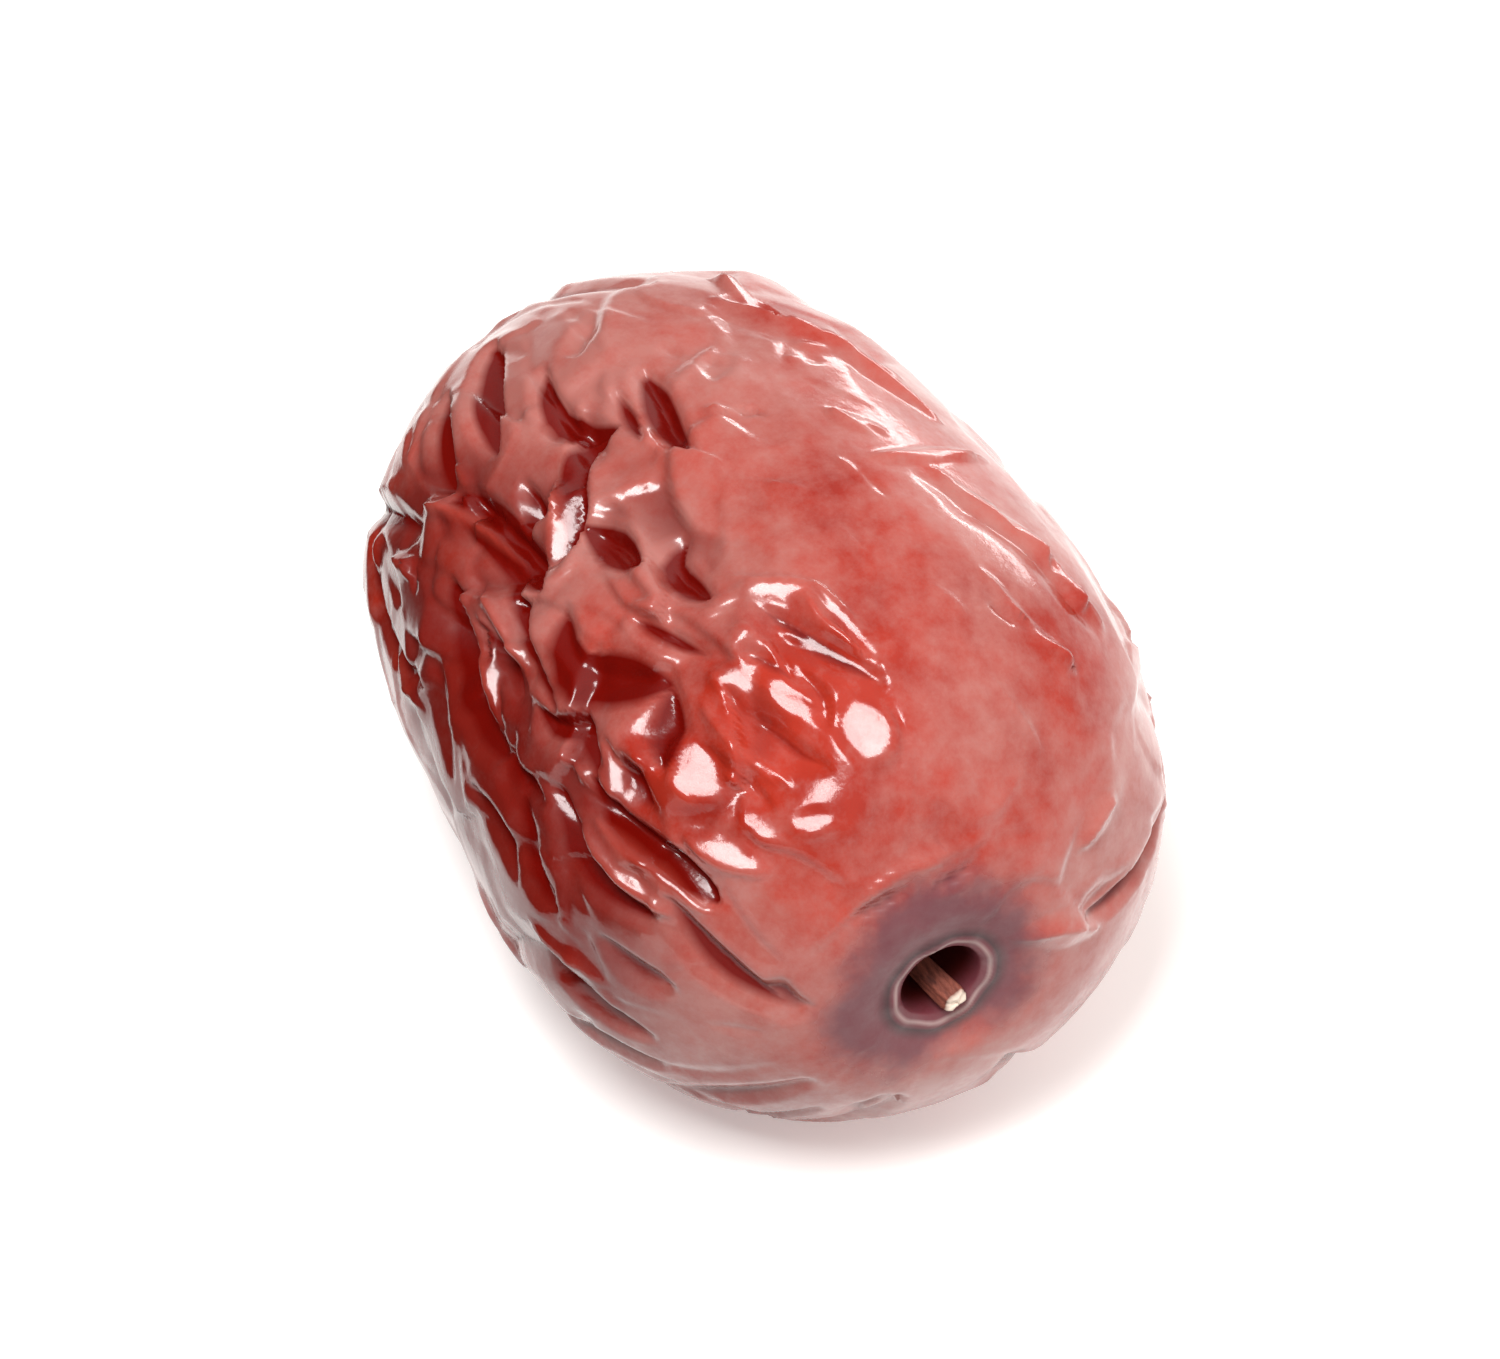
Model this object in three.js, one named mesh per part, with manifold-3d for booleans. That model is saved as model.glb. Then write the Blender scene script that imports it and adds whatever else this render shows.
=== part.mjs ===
/**
 * A dried jujube lying on its side: skin and flesh in one piece, and the dry stub
 * of its stem standing in the hollow at the stem end.
 *
 * Millimetres, +Z up. The fruit lies along X with the stem end at +X, and the
 * origin is the middle of the underside of its box.
 */
import * as THREE from 'three';
import { mergeVertices } from 'three/addons/utils/BufferGeometryUtils.js';
import Module from 'manifold-3d';

// The plain body, a blunt spindle round the X axis, and how far the skin lies above it
const LENGTH = 34;
const THICKNESS = 24;
const FATTER_AT_STEM = 0.12;
const STEM_END_BLUNTNESS = 2.6;
const BLOSSOM_END_BLUNTNESS = 4.2;
const LIFT = 0.25;

// The flat spot it lies on, and how far round it the skin is smooth
const REST_DEPTH = 11.8;
const REST_X = 2.5;
const REST_CALM_FROM = 4;
const REST_CALM_TO = 8;

// The hollow at the stem end, whose middle stands a little off the axis
const HOLLOW_Y = -0.85;
const HOLLOW_RADIUS = 1.65;
const HOLLOW_FLOOR_RADIUS = 1.25;
const HOLLOW_DEPTH = 3;
const FUNNEL_DEPTH = 0.95;
const FUNNEL_RADIUS = 3.4;
const RIM_RADIUS = 2.05;
const RIM_HEIGHT = 0.2;
const RIM_CALM_TO = 3.55;
const RIM_WIDTH = 0.32;

// How uneven its outline is, in waves round it: [how many, share of the radius, turn]
const HOLLOW_WAVES = [
  [2, 0.06, 0.6],
  [3, 0.05, 2],
  [5, 0.03, 0],
];
const HOLLOW_WAVES_REACH = 7;

// How far out on the plain cap the mesh of its floor, its wall and the pulled-in skin reach
const FLOOR_SHARE = 1.9;
const WALL_SHARE = 5.2;
const SKIN_SHARE = 20;

// The dimple at the blossom end, with the scar of the flower in it
const DIMPLE_DEPTH = 1.1;
const DIMPLE_RADIUS = 2.6;
const SCAR_HEIGHT = 0.5;
const SCAR_RADIUS = 0.7;

// The stub of the stem
const STEM_ROOT = [12.4, -1.25, -0.5];
const STEM_BEND = [14.4, -0.95, -0.6];
const STEM_TIP = [16.7, -0.35, -0.95];
const STEM_RADIUS = 0.5;
const STEM_SIDES = 10;
const STEM_RIBS = 5;
const STEM_RIB_HEIGHT = 0.07;
const STEM_CLEARANCE = 0.15;

// Its outline from root to tip, [share of its radius, mm from the root], then [share, mm back from the tip]
const STEM_ROOT_SHARE = 0.8;
const STEM_OUTLINE = [
  [1.15, 0.5],
  [1, 1.4],
  [0.94, 2.4],
  [1, 3.4],
];
const STEM_TIP_OUTLINE = [
  [1.04, 0.25],
  [0.78, 0],
];
const STEM_TIP_RISE = 0.05;

// How fine the relief is drawn
const MESH_DETAIL = 21;
const FINEST_FOLD = 0.8;

// A fold is a straight-sided groove or ridge, narrow at its ends, that leans over to one side
const CREASE_SHARPNESS = 1.1;
const RIDGE_SHARPNESS = 1.2;
const NARROW_END = 0.35;
const LEAN_TOWARDS = new THREE.Vector3(-0.45, -0.8, -0.4);
const CREASE_LEAN = 0.5;
const RIDGE_LEAN = 0.2;

// Creases of the side that is seen, each [half width, depth, ...places along it],
// and each place is [mm from the middle towards the stem, degrees round from the top]
const CREASES = [
  [1.0, 1.0, [-12.5, 26], [-10, 31], [-7, 38]],
  [0.9, 0.85, [-9, 21], [-6.5, 23.5], [-5, 20.5], [-4.3, 16]],
  [1.0, 0.9, [-4.3, 17], [-4.3, 23], [-3.2, 27.5], [-1.5, 32], [-0.7, 40]],
  [0.8, 0.7, [-5.2, 36], [-3.8, 37], [-3, 42], [-2, 43.5]],
  [0.7, 0.5, [-5.8, 13], [-4.3, 13.5], [-2.7, 15]],
  [1.0, 0.8, [-6.2, 6.5], [-4.6, 7], [-2.8, 8.5], [-0.9, 9.5]],
  [1.2, 0.9, [-1.3, 32], [0.3, 28.5], [2.3, 27.5]],
  [1.0, 0.7, [2, 18], [2.9, 22.5], [4.3, 22], [5.2, 21]],
  [1.3, 1.1, [-7.5, 50], [-6.5, 47], [-5, 45], [-3.2, 43.5], [-1.5, 43], [0, 44]],
  [0.7, 0.6, [-6.3, 51], [-4.6, 49.5], [-2.9, 48], [-1.4, 47.5], [1.2, 51.5], [3.4, 53], [4.8, 55]],
  [1.3, 1.0, [-4.5, 58], [-3, 60], [-1, 65], [0.8, 69], [3, 69]],
  [0.6, 0.5, [-2, 56], [0, 57.5], [2, 60]],
  [0.9, 0.85, [2.8, 57], [4.3, 56], [5.3, 52.5], [6.3, 54], [7.2, 57]],
  [1.9, 0.75, [1, 42], [3.5, 46], [5.5, 40], [7, 35]],
  [1.6, 0.6, [6.5, 35], [8.5, 41], [9, 47]],
  [0.8, 0.45, [6.5, 16], [7.6, 13], [8.8, 10.5], [10.3, 6], [11.2, 2.5]],
  [0.7, 0.5, [3.6, 34], [4.4, 32.5], [5.9, 29.5], [7, 27]],
  [0.7, 0.35, [7.6, 22.5], [8.6, 19.5], [9.8, 17]],
  [0.8, 0.6, [7.3, 50], [8.3, 50.5], [9.6, 53.5]],
  [0.7, 0.35, [9.3, 29], [10.6, 26], [11.8, 24], [12.6, 21]],
  [0.6, 0.3, [9.4, 38], [11, 36.5], [12.6, 36]],
  [0.6, 0.3, [9.2, 16], [10.6, 14.5], [11.6, 17]],
  [1.0, 1.0, [6.6, 57.5], [8.8, 59], [10.6, 58.5], [12.3, 58.5], [13, 61]],
  [1.0, 1.0, [5.5, 64], [7.2, 66.5], [8, 69], [9.5, 71], [11.5, 71.5]],
  [0.9, 0.6, [7, 94.5], [8.2, 96.5], [9.3, 98.5], [10.7, 101], [11.8, 103]],
  [0.9, 0.45, [9.8, 82], [11.3, 84], [12.7, 85.5]],
  [1.0, 0.6, [4.2, 70], [5.6, 75], [6.4, 80], [8, 84]],
  [0.9, 0.5, [2.5, 68], [4, 68.5], [5.8, 67.5]],
  [1.0, 0.5, [1.5, 80], [3, 79.5], [4.6, 81], [5.5, 86]],
  [1.0, 0.7, [-12, 41], [-10.2, 44], [-8.7, 48], [-7.5, 50]],
  [0.7, 0.25, [-9.6, 8.5], [-8.7, 13], [-8.2, 15]],
  [0.5, 0.15, [-5.4, -3.5], [-4.8, -5.5]],
  [0.5, 0.15, [-7, 0.5], [-6, -1]],
  [0.8, 0.12, [-8.5, -12], [-6.2, -18], [-5.2, -22]],
  [1.0, 0.16, [3, -23], [4.1, -27], [5, -29], [5.6, -34], [6.7, -39], [7.9, -42], [8.9, -46], [9.6, -52]],
  [0.9, 0.12, [8.6, -24], [9.6, -31], [10.4, -38]],
  [0.45, 0.3, [15.7, 40], [15.85, 27], [15.9, 16]],
  [0.45, 0.35, [16.1, 7], [16.05, -4], [15.85, -15]],
  [0.7, 0.5, [15.9, -86], [15.5, -89], [14.8, -90], [13.5, -89], [12, -87]],
];

// Sharp folds that stand out between them, written the same way
const RIDGES = [
  [0.9, 0.5, [-4, 31], [-2.2, 35], [-1.3, 41]],
  [0.55, 0.45, [-8.3, 56], [-7.4, 53], [-6.2, 49.5], [-4.2, 47], [-2.2, 45.5]],
  [0.6, 0.45, [-3.3, 56], [-1.5, 59.5], [0, 62], [1.3, 65]],
  [0.5, 0.4, [-3, 53], [-1.3, 53], [1.2, 55], [2.6, 56.5]],
  [0.6, 0.4, [4.8, 17], [6, 12], [6.8, 8], [8.3, 7.5], [9.8, 4], [10.8, 1]],
  [0.55, 0.35, [8.1, 33], [9.3, 33.5], [10.6, 33], [12, 32]],
  [0.7, 0.3, [6.8, 54.5], [8.3, 57]],
  [0.6, 0.5, [7.8, 62], [9.5, 62.5], [11, 62.5], [12.8, 63.5]],
  [0.6, 0.45, [7.6, 64.5], [9.3, 67], [10.5, 68], [12, 68.5]],
  [0.6, 0.3, [6.5, 90], [7.9, 92], [9, 91.5], [10.3, 93]],
  [0.55, 0.35, [-8.4, 68], [-6.4, 65]],
  [0.55, 0.35, [-7.6, 81], [-5.7, 84], [-3.2, 82.5]],
  [0.6, 0.3, [-8.4, 45.5], [-7, 46.5]],
  [0.8, 0.45, [-9, -15], [-7, -22], [-5.5, -28], [-4, -32], [-2.2, -36], [-0.5, -40]],
  [0.7, 0.45, [2.6, -27], [4.2, -31], [5.2, -34.5], [6.1, -39.5], [7.3, -44], [8.4, -48], [9, -54]],
  [0.5, 0.25, [7.8, -24], [10.1, -31], [11.6, -39]],
  [0.5, 0.15, [11.7, -17.5], [13, -24], [13.9, -31]],
  [0.5, 0.15, [8.2, -13], [9.7, -18]],
  [0.5, 0.2, [-0.7, -16], [0.7, -24]],
  [0.5, 0.25, [1.9, -17], [2.1, -29], [1.2, -46]],
  [0.5, 0.15, [-5, -21], [-4.4, -28.5]],
  [0.5, 0.15, [1.8, 2], [2.9, -3]],
  [0.55, 0.28, [15.5, 56], [15.55, 34], [15.6, 12], [15.65, -2], [15.5, -16]],
  [0.9, 0.45, [16.7, -70], [16.4, -77], [16.1, -85], [15.6, -96]],
  [0.7, 0.4, [15.4, -58], [14.9, -58], [14.2, -60]],
  [0.7, 0.3, [11.3, 12], [12, 8.5], [13.2, 6.5]],
  [0.8, 0.3, [11.5, 51.5], [13, 49.5]],
  [1.2, 0.35, [9.2, 44], [10.8, 47]],
  [0.8, 0.35, [7.6, 29], [8.7, 25.5], [9.8, 23], [10.8, 21]],
  [0.45, 0.25, [8.5, 34], [10.4, 32.5], [12.3, 30]],
];

// Broad swells and dents of the whole form: [x, degrees round, reach, height]
const SWELLS = [
  [7.5, 105, 6, 0.45],
  [14.5, -140, 7, 0.5],
  [6.5, 47, 2.2, 0.35],
  [5.5, 38, 3.5, -0.45],
  [-6, 150, 6, -0.7],
  [4, -120, 6, -0.6],
  [-8, -80, 6, -0.5],
  [-10, -150, 5, 0.4],
  [9, 165, 5, 0.3],
  [-2, -30, 6, 0.2],
  [11, 26, 4.5, -0.35],
  [12.2, 13, 1.4, 0.22],
  [10.2, 42, 1.5, 0.25],
  [8.4, 25, 1.3, 0.2],
  [13.4, 32, 1.2, 0.2],
  [12.5, 49, 1.3, 0.2],
];

// Nearly flat patches that the drying skin has buckled into, each tilted its own way
const PATCHES = 170;
const PATCH_TILT = 0.27;
const PATCH_STEP = 0.12;
const PATCH_SIZES = 2.5;
const PATCH_SHARPNESS = 1.5;
const PATCH_STRETCH = 1.5;
const PATCH_SHAKE = [0.8, 8];
const PATCH_WARP = 0.55;
const PATCH_WARP_LENGTH = 7;

// How strongly the skin is buckled, and where that is more or less: [x, degrees round, reach, change]
const BUCKLED = 0.85;
const LEAST_BUCKLED = 0.05;
const MOST_BUCKLED = 1.2;
const BUCKLED_PLACES = [
  [10, -25, 9, -0.9],
  [15, 60, 6, -0.65],
  [15, -120, 7, -0.5],
  [0, -32, 9, -0.7],
  [-11, -15, 6, -0.5],
  [-8, 96, 8, -0.7],
  [5, 110, 8, -0.4],
  [0, 45, 7, 0.35],
  [11.5, 28, 4.5, 0.4],
  [13, 130, 8, -0.65],
  [-15, 35, 6, -0.5],
];

// Creases of the sides that aren't seen, drawn from a seed
const SEED = 4127;
const DRAWN_CREASES = 120;
const DRAWN_LENGTH = [4, 10];
const DRAWN_HALF_WIDTH = [0.8, 1.4];
const DRAWN_DEPTH = [0.3, 0.6];
const DRAWN_SLANT = 0.7;
const DRAWN_BEND = 0.08;
const ENDS_FREE = 14.6;
const ROOM_BETWEEN = 1.8;

// Where none are drawn, the smooth side, the far flank, the shoulder and the flat spot:
// [x from, x to, degrees from, degrees to]
const CALM_PLACES = [
  [-13, LENGTH, -80, 5],
  [-14, 0, 85, 125],
  [4, LENGTH, 5, 45],
  [-4, 9, 165, 180],
  [-4, 9, -180, -165],
];

// Short creases that run out from the two ends, from and to in mm from the axis
const BLOSSOM_CREASES = { count: 9, from: 1.4, to: 5.5 };
const STEM_END_CREASES = { count: 5, from: 5.5, to: 9 };
const END_HALF_WIDTH = [0.8, 1.1];
const END_DEPTH = [0.25, 0.5];
const END_REACH = [0.6, 1];
const END_SHAKE = 0.3;
const END_WOBBLE = 0.05;

const HALF_LENGTH = LENGTH / 2;
const HALF_THICKNESS = THICKNESS / 2;
const CAP_SPREAD = HALF_THICKNESS * (1 + FATTER_AT_STEM) * Math.sqrt(STEM_END_BLUNTNESS / 2);
const TAIL_SPREAD = HALF_THICKNESS * (1 - FATTER_AT_STEM) * Math.sqrt(BLOSSOM_END_BLUNTNESS / 2);
const GOLDEN_TURN = Math.PI * (3 - Math.sqrt(5));
const DRAW_STEP = 16807;
const DRAW_RANGE = 2147483647;
const WAVES_IN_FIELD = 24;
const WAVE_SIZES = [0.75, 1.3];
const SPLINE_STEPS = 3;
const ALONG_LINE = [0, 0.25, 0.5, 0.75, 1];
const AWAY_FROM_POLES = 0.1;
const { degToRad, radToDeg, smoothstep, clamp, lerp } = THREE.MathUtils;

const wasm = await Module();
wasm.setup();

/** Repeatable draws between two values. */
function makeDraw(seed) {
  let state = seed;
  return (low, high) => {
    state = (state * DRAW_STEP) % DRAW_RANGE;
    return low + (high - low) * (state / DRAW_RANGE);
  };
}

/** A smooth random field, a sum of plane waves of about one length, mostly between -2 and 2. */
function makeWaves(seed, wavelength) {
  const draw = makeDraw(seed);
  const waves = Array.from({ length: WAVES_IN_FIELD }, () => {
    const along = draw(-1, 1);
    const turn = draw(0, 2 * Math.PI);
    const size = ((2 * Math.PI) / wavelength) * draw(...WAVE_SIZES);
    const across = Math.sqrt(1 - along * along);
    const way = new THREE.Vector3(along, across * Math.cos(turn), across * Math.sin(turn));
    return { way: way.multiplyScalar(size), phase: draw(0, 2 * Math.PI) };
  });
  const share = Math.sqrt(2 / waves.length);
  return (point) => waves.reduce((sum, { way, phase }) => sum + share * Math.sin(point.dot(way) + phase), 0);
}

/** A place on the plain body, by its angle from the stem end and its turn from the top. */
function bodyPoint(polar, turn) {
  const along = Math.cos(polar);
  const bluntness = along > 0 ? STEM_END_BLUNTNESS : BLOSSOM_END_BLUNTNESS;
  const taper = 1 + FATTER_AT_STEM * along;
  const radius = HALF_THICKNESS * taper * Math.sqrt(1 - Math.abs(along) ** bluntness);
  return new THREE.Vector3(HALF_LENGTH * along, -radius * Math.sin(turn), radius * Math.cos(turn));
}

/** The same, by the distance from the middle towards the stem and the turn in degrees. */
function placeOnBody(x, degrees) {
  return bodyPoint(Math.acos(x / HALF_LENGTH), degToRad(degrees));
}

/** The direction in which relief stands out of the body. */
function outward(point) {
  const along = point.x / HALF_LENGTH ** 2;
  const across = HALF_THICKNESS ** 2;
  return new THREE.Vector3(along, point.y / across, point.z / across).normalize();
}

/** A bell round a place on the body, for a swell or a change. */
function makeBell([x, degrees, reach, height]) {
  const middle = placeOnBody(x, degrees);
  return (point) => height * Math.exp(-((point.distanceTo(middle) / reach) ** 2));
}

/** A fold with a smooth line of points on the body. */
function makeFold(halfWidth, height, lean, places) {
  const spline = new THREE.SplineCurve(places.map(([x, degrees]) => new THREE.Vector2(x, degrees)));
  const line = spline.getPoints(SPLINE_STEPS * (places.length - 1)).map(({ x, y }) => placeOnBody(x, y));
  return { halfWidth: Math.max(halfWidth, FINEST_FOLD), height, lean, line };
}

/** How far a point is from a fold's line, in which direction, and how far along the line. */
function nearestOnFold(fold, point) {
  const nearest = { distance: Infinity, along: 0, aside: 0 };
  const span = new THREE.Vector3();
  const offset = new THREE.Vector3();
  for (let i = 0; i < fold.line.length - 1; i += 1) {
    span.subVectors(fold.line[i + 1], fold.line[i]);
    offset.subVectors(point, fold.line[i]);
    const share = clamp(offset.dot(span) / span.lengthSq(), 0, 1);
    const distance = offset.addScaledVector(span, -share).length();
    if (distance < nearest.distance) {
      nearest.distance = distance;
      nearest.along = (i + share) / (fold.line.length - 1);
      nearest.aside = distance > 0 ? offset.dot(LEAN_TOWARDS) / distance : 0;
    }
  }
  return nearest;
}

/** A fold's height at a point: full on its line, and fading to its sides and its ends. */
function foldHeight(fold, point, sharpness) {
  if (point.distanceTo(fold.line[0]) > fold.reach) {
    return 0;
  }
  const { distance, along, aside } = nearestOnFold(fold, point);
  const swell = Math.sin(Math.PI * along);
  const width = fold.halfWidth * lerp(NARROW_END, 1, swell) * (1 + fold.lean * aside);
  const side = 1 - distance / width;
  return side > 0 ? fold.height * side ** sharpness * Math.sqrt(swell) : 0;
}

/** Gives each fold the distance from its first point past which it has no effect. */
function measureReach(folds) {
  for (const fold of folds) {
    const furthest = Math.max(...fold.line.map((place) => place.distanceTo(fold.line[0])));
    fold.reach = furthest + fold.halfWidth * (1 + fold.lean);
  }
  return folds;
}

/** Whether a place has no drawn creases. */
function isCalm(x, degrees) {
  const fromTop = degrees > 180 ? degrees - 360 : degrees;
  return CALM_PLACES.some(([low, high, start, stop]) => {
    return x > low && x < high && fromTop > start && fromTop < stop;
  });
}

/** Creases spread evenly over the body, running mostly lengthwise, clear of the ones that are set. */
function drawCreases(set) {
  const draw = makeDraw(SEED);
  const drawn = [];
  for (let i = 0; i < DRAWN_CREASES; i += 1) {
    const x = HALF_LENGTH * (1 - (2 * i + 1) / DRAWN_CREASES);
    const turn = radToDeg((i * GOLDEN_TURN) % (2 * Math.PI));
    const length = draw(...DRAWN_LENGTH);
    const slant = draw(-DRAWN_SLANT, DRAWN_SLANT);
    const bend = draw(-DRAWN_BEND, DRAWN_BEND);
    const halfWidth = draw(...DRAWN_HALF_WIDTH);
    const depth = draw(...DRAWN_DEPTH);
    if (Math.abs(x) > ENDS_FREE || isCalm(x, turn)) {
      continue;
    }
    const middle = placeOnBody(x, turn);
    if (set.some((fold) => nearestOnFold(fold, middle).distance < ROOM_BETWEEN)) {
      continue;
    }
    const radius = Math.hypot(middle.y, middle.z);
    const places = ALONG_LINE.map((share) => {
      const step = (share - 0.5) * length;
      const aside = bend * step * step;
      const forward = step * Math.cos(slant) - aside * Math.sin(slant);
      const round = step * Math.sin(slant) + aside * Math.cos(slant);
      return [clamp(x + forward, -ENDS_FREE - 1.5, ENDS_FREE + 1), turn + radToDeg(round / radius)];
    });
    drawn.push(makeFold(halfWidth, depth, CREASE_LEAN, places));
  }
  return drawn;
}

/** Creases that run out from an end, evenly round it with seeded differences. */
function endCreases({ count, from, to }, spread, atStem, draw) {
  return Array.from({ length: count }, (_, i) => {
    const turn = ((i + draw(-END_SHAKE, END_SHAKE)) / count) * 2 * Math.PI;
    const reach = lerp(from, to, draw(...END_REACH));
    const line = ALONG_LINE.map((share) => {
      const polar = lerp(from, reach, share) / spread;
      return bodyPoint(atStem ? polar : Math.PI - polar, turn + draw(-END_WOBBLE, END_WOBBLE));
    });
    return { halfWidth: draw(...END_HALF_WIDTH), height: draw(...END_DEPTH), lean: CREASE_LEAN, line };
  });
}

/** The flat patches, spread evenly over the body with seeded differences. */
function makePatches() {
  const draw = makeDraw(SEED + 20);
  return Array.from({ length: PATCHES }, (_, i) => {
    const x = HALF_LENGTH * (1 - (2 * i + 1) / PATCHES) + draw(-PATCH_SHAKE[0], PATCH_SHAKE[0]);
    const degrees = radToDeg(i * GOLDEN_TURN) + draw(-PATCH_SHAKE[1], PATCH_SHAKE[1]);
    const furthest = HALF_LENGTH - AWAY_FROM_POLES;
    const middle = placeOnBody(clamp(x, -furthest, furthest), degrees);
    const tilt = new THREE.Vector3(draw(-1, 1), draw(-1, 1), draw(-1, 1)).multiplyScalar(PATCH_TILT);
    return { middle, tilt, step: draw(-PATCH_STEP, PATCH_STEP), size: draw(-PATCH_SIZES, PATCH_SIZES) };
  });
}

const patches = makePatches();
const warp = [0, 1, 2].map((i) => makeWaves(SEED + 30 + i, PATCH_WARP_LENGTH));
const buckledPlaces = BUCKLED_PLACES.map(makeBell);
const swells = SWELLS.map(makeBell);
const restMiddle = new THREE.Vector3(REST_X, 0, -HALF_THICKNESS);
const endDraw = makeDraw(SEED + 1);
const setCreases = CREASES.map(([halfWidth, depth, ...places]) => {
  return makeFold(halfWidth, depth, CREASE_LEAN, places);
});
const creases = measureReach([
  ...setCreases,
  ...drawCreases(setCreases),
  ...endCreases(BLOSSOM_CREASES, TAIL_SPREAD, false, endDraw),
  ...endCreases(STEM_END_CREASES, CAP_SPREAD, true, endDraw),
]);
const setRidges = RIDGES.map(([halfWidth, height, ...places]) => {
  return makeFold(halfWidth, height, RIDGE_LEAN, places);
});
const ridges = measureReach(setRidges);

/** The height of the flat patches at a point, each patch winning where it is the nearest. */
function buckling(point) {
  const place = new THREE.Vector3(...warp.map((wave) => PATCH_WARP * wave(point))).add(point);
  const offset = new THREE.Vector3();
  let weights = 0;
  let heights = 0;
  for (const { middle, tilt, step, size } of patches) {
    offset.subVectors(place, middle);
    const height = step + offset.dot(tilt);
    offset.x /= PATCH_STRETCH;
    const weight = Math.exp(-PATCH_SHARPNESS * (offset.lengthSq() - size));
    weights += weight;
    heights += weight * height;
  }
  const strength = buckledPlaces.reduce((sum, bell) => sum + bell(point), BUCKLED);
  return (clamp(strength, LEAST_BUCKLED, MOST_BUCKLED) * heights) / weights;
}

/** The height of the skin above the plain body. */
function relief(point) {
  const swell = swells.reduce((sum, bell) => sum + bell(point), LIFT);
  const deepest = Math.max(...creases.map((fold) => foldHeight(fold, point, CREASE_SHARPNESS)));
  const highest = Math.max(...ridges.map((fold) => foldHeight(fold, point, RIDGE_SHARPNESS)));
  return swell - deepest + highest + buckling(point);
}

/** How a distance from the stem end on the plain cap maps on to floor, wall and skin. */
function hollowProfile(distance) {
  if (distance < FLOOR_SHARE) {
    return (distance / FLOOR_SHARE) * HOLLOW_FLOOR_RADIUS;
  }
  if (distance < WALL_SHARE) {
    const share = (distance - FLOOR_SHARE) / (WALL_SHARE - FLOOR_SHARE);
    return lerp(HOLLOW_FLOOR_RADIUS, HOLLOW_RADIUS, share);
  }
  if (distance < SKIN_SHARE) {
    return lerp(HOLLOW_RADIUS, SKIN_SHARE, (distance - WALL_SHARE) / (SKIN_SHARE - WALL_SHARE));
  }
  return distance;
}

/** The skin's own place for a direction out of the middle. */
function skinPoint(direction) {
  const turn = Math.atan2(-direction.y, direction.z);
  const evenDistance = Math.acos(clamp(direction.x, -1, 1)) * CAP_SPREAD;
  const uneven = HOLLOW_WAVES.reduce((sum, [count, share, start]) => {
    return sum + share * Math.sin(count * turn + start);
  }, 0);
  const capDistance = evenDistance * (1 + uneven * Math.exp(-((evenDistance / HOLLOW_WAVES_REACH) ** 2)));
  const fromStem = hollowProfile(capDistance);
  const polar = fromStem / CAP_SPREAD;
  const fromBlossom = (Math.PI - polar) * TAIL_SPREAD;
  const base = bodyPoint(polar, turn);
  const calmAtHollow = smoothstep(fromStem, RIM_RADIUS, RIM_CALM_TO);
  const calmAtRest = smoothstep(base.distanceTo(restMiddle), REST_CALM_FROM, REST_CALM_TO);
  const point = base.clone().addScaledVector(outward(base), relief(base) * calmAtHollow * calmAtRest);

  const wall = 1 - smoothstep(capDistance, FLOOR_SHARE, WALL_SHARE);
  const rim = RIM_HEIGHT * Math.exp(-(((fromStem - RIM_RADIUS) / RIM_WIDTH) ** 2));
  const funnel = FUNNEL_DEPTH * Math.exp(-((fromStem / FUNNEL_RADIUS) ** 2));
  point.x += rim - funnel - wall * HOLLOW_DEPTH;
  point.y += HOLLOW_Y * (1 - smoothstep(fromStem, RIM_RADIUS, HALF_THICKNESS));

  const dimple = DIMPLE_DEPTH * Math.exp(-((fromBlossom / DIMPLE_RADIUS) ** 2));
  const scar = SCAR_HEIGHT * Math.exp(-((fromBlossom / SCAR_RADIUS) ** 2));
  point.x += dimple - scar;
  point.z = Math.max(point.z, -REST_DEPTH);
  return point;
}

/** A closed geometry as a solid that can be cut. */
function toSolid(geometry) {
  geometry.deleteAttribute('normal');
  geometry.deleteAttribute('uv');
  const merged = mergeVertices(geometry);
  return new wasm.Manifold(new wasm.Mesh({
    numProp: 3,
    vertProperties: merged.attributes.position.array,
    triVerts: new Uint32Array(merged.index.array),
  }));
}

/** A cut solid as a geometry again. */
function toGeometry(solid) {
  const { vertProperties, triVerts } = solid.getMesh();
  const geometry = new THREE.BufferGeometry();
  geometry.setAttribute('position', new THREE.BufferAttribute(vertProperties, 3));
  geometry.setIndex(new THREE.BufferAttribute(triVerts, 1));
  geometry.computeVertexNormals();
  return geometry;
}

/** The skin and flesh, before the stem's socket is cut. */
function fruitBody() {
  const geometry = new THREE.IcosahedronGeometry(1, MESH_DETAIL);
  const places = geometry.attributes.position;
  const direction = new THREE.Vector3();
  for (let i = 0; i < places.count; i += 1) {
    direction.fromBufferAttribute(places, i).normalize();
    places.setXYZ(i, ...skinPoint(direction).toArray());
  }
  return geometry;
}

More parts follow.
